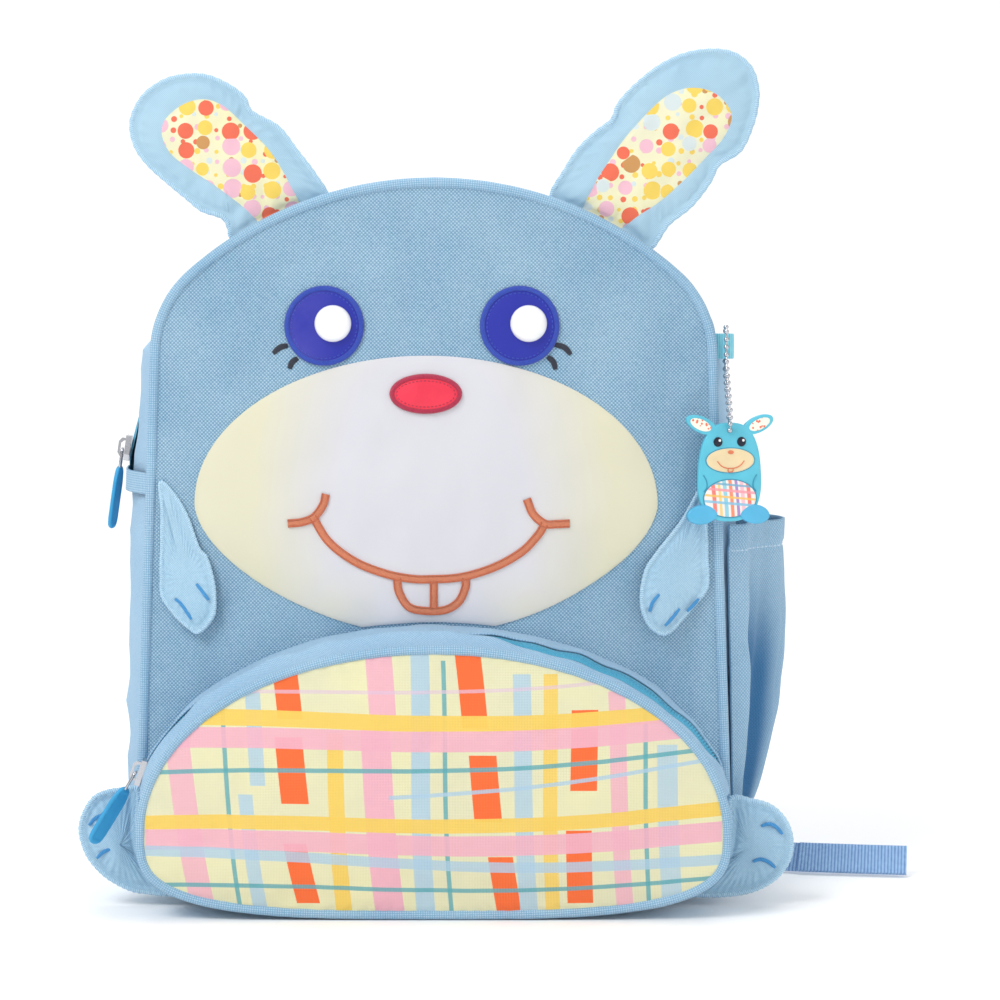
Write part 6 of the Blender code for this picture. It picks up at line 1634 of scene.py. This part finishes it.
def makeStraps():
    rows = np.array(strap["rows"])
    centre = rows[:, :3] * [bag["half"], bag["depth"], bag["height"]] + [0, bag["back"], 0]
    line = openCurve(np.concatenate([centre, rows[:, 3:] * strap["width"]], -1), 150)
    for side, sign in (("Left", -1), ("Right", 1)):
        path, wide = line[:, :3] * [sign, 1, 1], line[:, 3]
        low, high = boxOf("shoulder_strap_" + side.lower())
        path = path + [0, (low[1] + high[1]) / 2 - (path[:, 1].min() + path[:, 1].max()) / 2, 0]
        tangent = unit(np.gradient(path, axis=0))
        normal = unit(np.cross(tangent, np.broadcast_to([1.0, 0, 0], path.shape)))
        aside = np.cross(normal, tangent)
        section = sectionOf(44, 3.0)
        end = np.linspace(0, 1, 150)
        full = 0.35 + 0.65 * np.sqrt(np.clip(1 - np.abs(2 * end - 1) ** 14, 0, 1))
        thick = strap["thick"] / 2 * full
        run = lengthOf(path)
        # stitched channels across the pad every 38 mm, and a dip beside the bound edge
        channel = 1 - 0.16 * np.exp(-((np.mod(run, 0.038) - 0.019) / 0.0018) ** 2)
        beside = 1 - 0.34 * np.exp(-((np.abs(section[:, 0]) - 0.84) / 0.045) ** 2)
        rough = 1 + 0.03 * softNoise(run[:, None], section[None, :, 0] * 0.02, 0.03, 95)
        deep = section[None, :, 1] * (thick * channel)[:, None] * beside[None] * rough
        grid = path[:, None] + aside[:, None] * section[None, :, :1] * (wide / 2)[:, None, None] \
            + normal[:, None] * deep[..., None]
        uv = pairs(run, np.append(section[:, 0], 1.0) * strap["width"] / 2)
        piece = makePiece("strapPad" + side, grid, strapCloth, "padded_cloth",
                          ["shoulder_strap_" + side.lower()], wrap=True, poles=(True, True), uv=uv)
        for edge, s in (("In", -1), ("Out", 1)):
            cord = path + aside * s * (wide / 2 - 0.0007)[:, None]
            bound = along(cord, ring(strap["tape"], 12, 0.62), normal)
            makePiece("strapTape" + side + edge, bound, bindCloth, "edging_cloth", wrap=True,
                      poles=(True, True), uv=cordUv(cord, 12, strap["tape"])[:-1])


def makeWebbing():
    for side, sign in (("left", -1), ("right", 1)):
        lockLow, lockHigh = boxOf("ladder_lock_" + side)
        lock = (lockLow + lockHigh) / 2 * [sign, 1, 1]
        run, out = np.array([0.175, -0.216, -0.960]), np.array([0.0, 0.976, -0.219])
        run = unit(run)
        turn = webbing["bar"] * math.sqrt(0.5) + 0.0006 + webbing["thick"] / 2
        pitch = webbing["bar"] + webbing["slot"]

        def at(down, away):
            return lock + run * down + out * away
        x = bag["half"] * 0.83
        behind = float(backY(np.array(x), np.array(bag["corner"]))) + 0.0012 + webbing["thick"]
        foot = np.array([x, behind, bag["corner"]])
        rise = [foot, foot + [0, 0, 0.45 * bag["corner"]], at(pitch + 0.006, -turn), at(pitch * 0.5, -turn)]
        rise += [at(-turn * math.cos(a), turn * math.sin(a)) for a in np.radians([-90, -45, 0, 45, 90])]
        rise += [at(pitch * 0.5, turn), at(pitch + 0.006, turn)]
        low = webbing["width"] / 2 * math.cos(math.radians(webbing["tilt"])) + webbing["thick"]
        way = np.array([webbing["reach"] - lock[0], bag["depth"], lock[2] - low])
        tail = np.array([lock[0], bag["back"], low]) + np.array(webbing[side]) * way
        points = np.array([*rise, *tail]) * [sign, 1, 1]
        # equal steps for each pair of points, as the source's band has
        steps = 14
        path = np.concatenate([throughPoints(mirrored(points), steps), points[-1:]])
        level = np.clip((path[:, 2] - low) / (lock[2] - low), 0, 1)[:, None]
        farOut = (np.abs(path[:, :1]) - lock[0]) / (webbing["reach"] - lock[0])
        tilt = np.clip((farOut - 0.16) / 0.26, 0, 1) * (math.pi / 2 - math.radians(webbing["tilt"]))
        lying = np.concatenate([0 * tilt, np.cos(tilt), np.sin(tilt)], axis=1) * (sign > 0)
        number = np.arange(len(path))[:, None] / steps
        aside = np.cross(run, out)
        aside = aside * np.sign(aside[0]) * [sign, 1, 1]
        held = aside * ease(number / 2) + np.array([sign, 0, 0]) * (1 - ease(number / 2))
        across = np.where(number > len(rise), level * aside + (1 - level) * lying, held)
        width = unit(np.stack([np.convolve(np.pad(v, 6, mode="edge"), np.ones(13) / 13,
                                           mode="valid") for v in across.T], -1))
        bandAlong("webbing" + side.title(), path, width, webbing["width"], webbing["thick"], webbingLook,
                  "webbing", ["webbing_" + side])
        if sign > 0:
            # the folded hem at the free end
            hem = path[-26:]
            across = width[-26:]
            normal = unit(np.cross(unit(np.gradient(hem, axis=0)), across))
            bandAlong("webbingHem", hem + normal * 0.0011, across, webbing["width"] * 0.98, 0.0013,
                      webbingLook, "webbing")


def makeHandle():
    low, high = boxOf("grab_handle")
    half, level, lift = 0.035, (low[2] + high[2]) / 2, high[1] - 0.0007
    skin = low[1] + 0.0007
    line = [(half, skin), (half * 0.86, skin + 0.0022 + 0.0006), (half * 0.72, skin + 0.0132),
            (half * 0.55, lift - 0.0009), (half * 0.40, lift)]
    line = [(-x, y) for x, y in line] + line[::-1]
    line = openCurve(line, 120)
    path = np.stack([line[:, 0], np.minimum(line[:, 1], lift), np.full(120, level)], -1)
    bandAlong("handleBand", path, (0, 0, 1.0), 0.018, 0.0014, webbingLook, "webbing", ["grab_handle"])


def makeAnchors():
    for side in ("left", "right"):
        low, high = boxOf("strap_anchor_" + side)
        x, z = np.meshgrid(np.linspace(low[0], high[0], 24), np.linspace(low[2], high[2], 18), indexing="ij")
        middle = (low[0] + high[0]) / 2
        x = middle + (x - middle) * (1 - 0.12 * (z - low[2]) / (high[2] - low[2]))
        # the tab lies on the back, with a groove where it is sewn down
        edge = np.minimum.reduce([x - x.min(0), x.max(0) - x, z - low[2], high[2] - z])
        y = backY(x, z) + 0.0022 - 0.0005 * np.exp(-((edge - 0.0016) / 0.0006) ** 2)
        makePiece("anchorTab" + side.title(), np.stack([x, y, z], -1), bindCloth, "body_cloth",
                  ["strap_anchor_" + side], wall=0.0014, uv=np.stack([x, z], -1),
                  inside=(middle, 0.0, z.mean()))


makeStraps()
makeWebbing()
makeHandle()
makeAnchors()
print("back made")
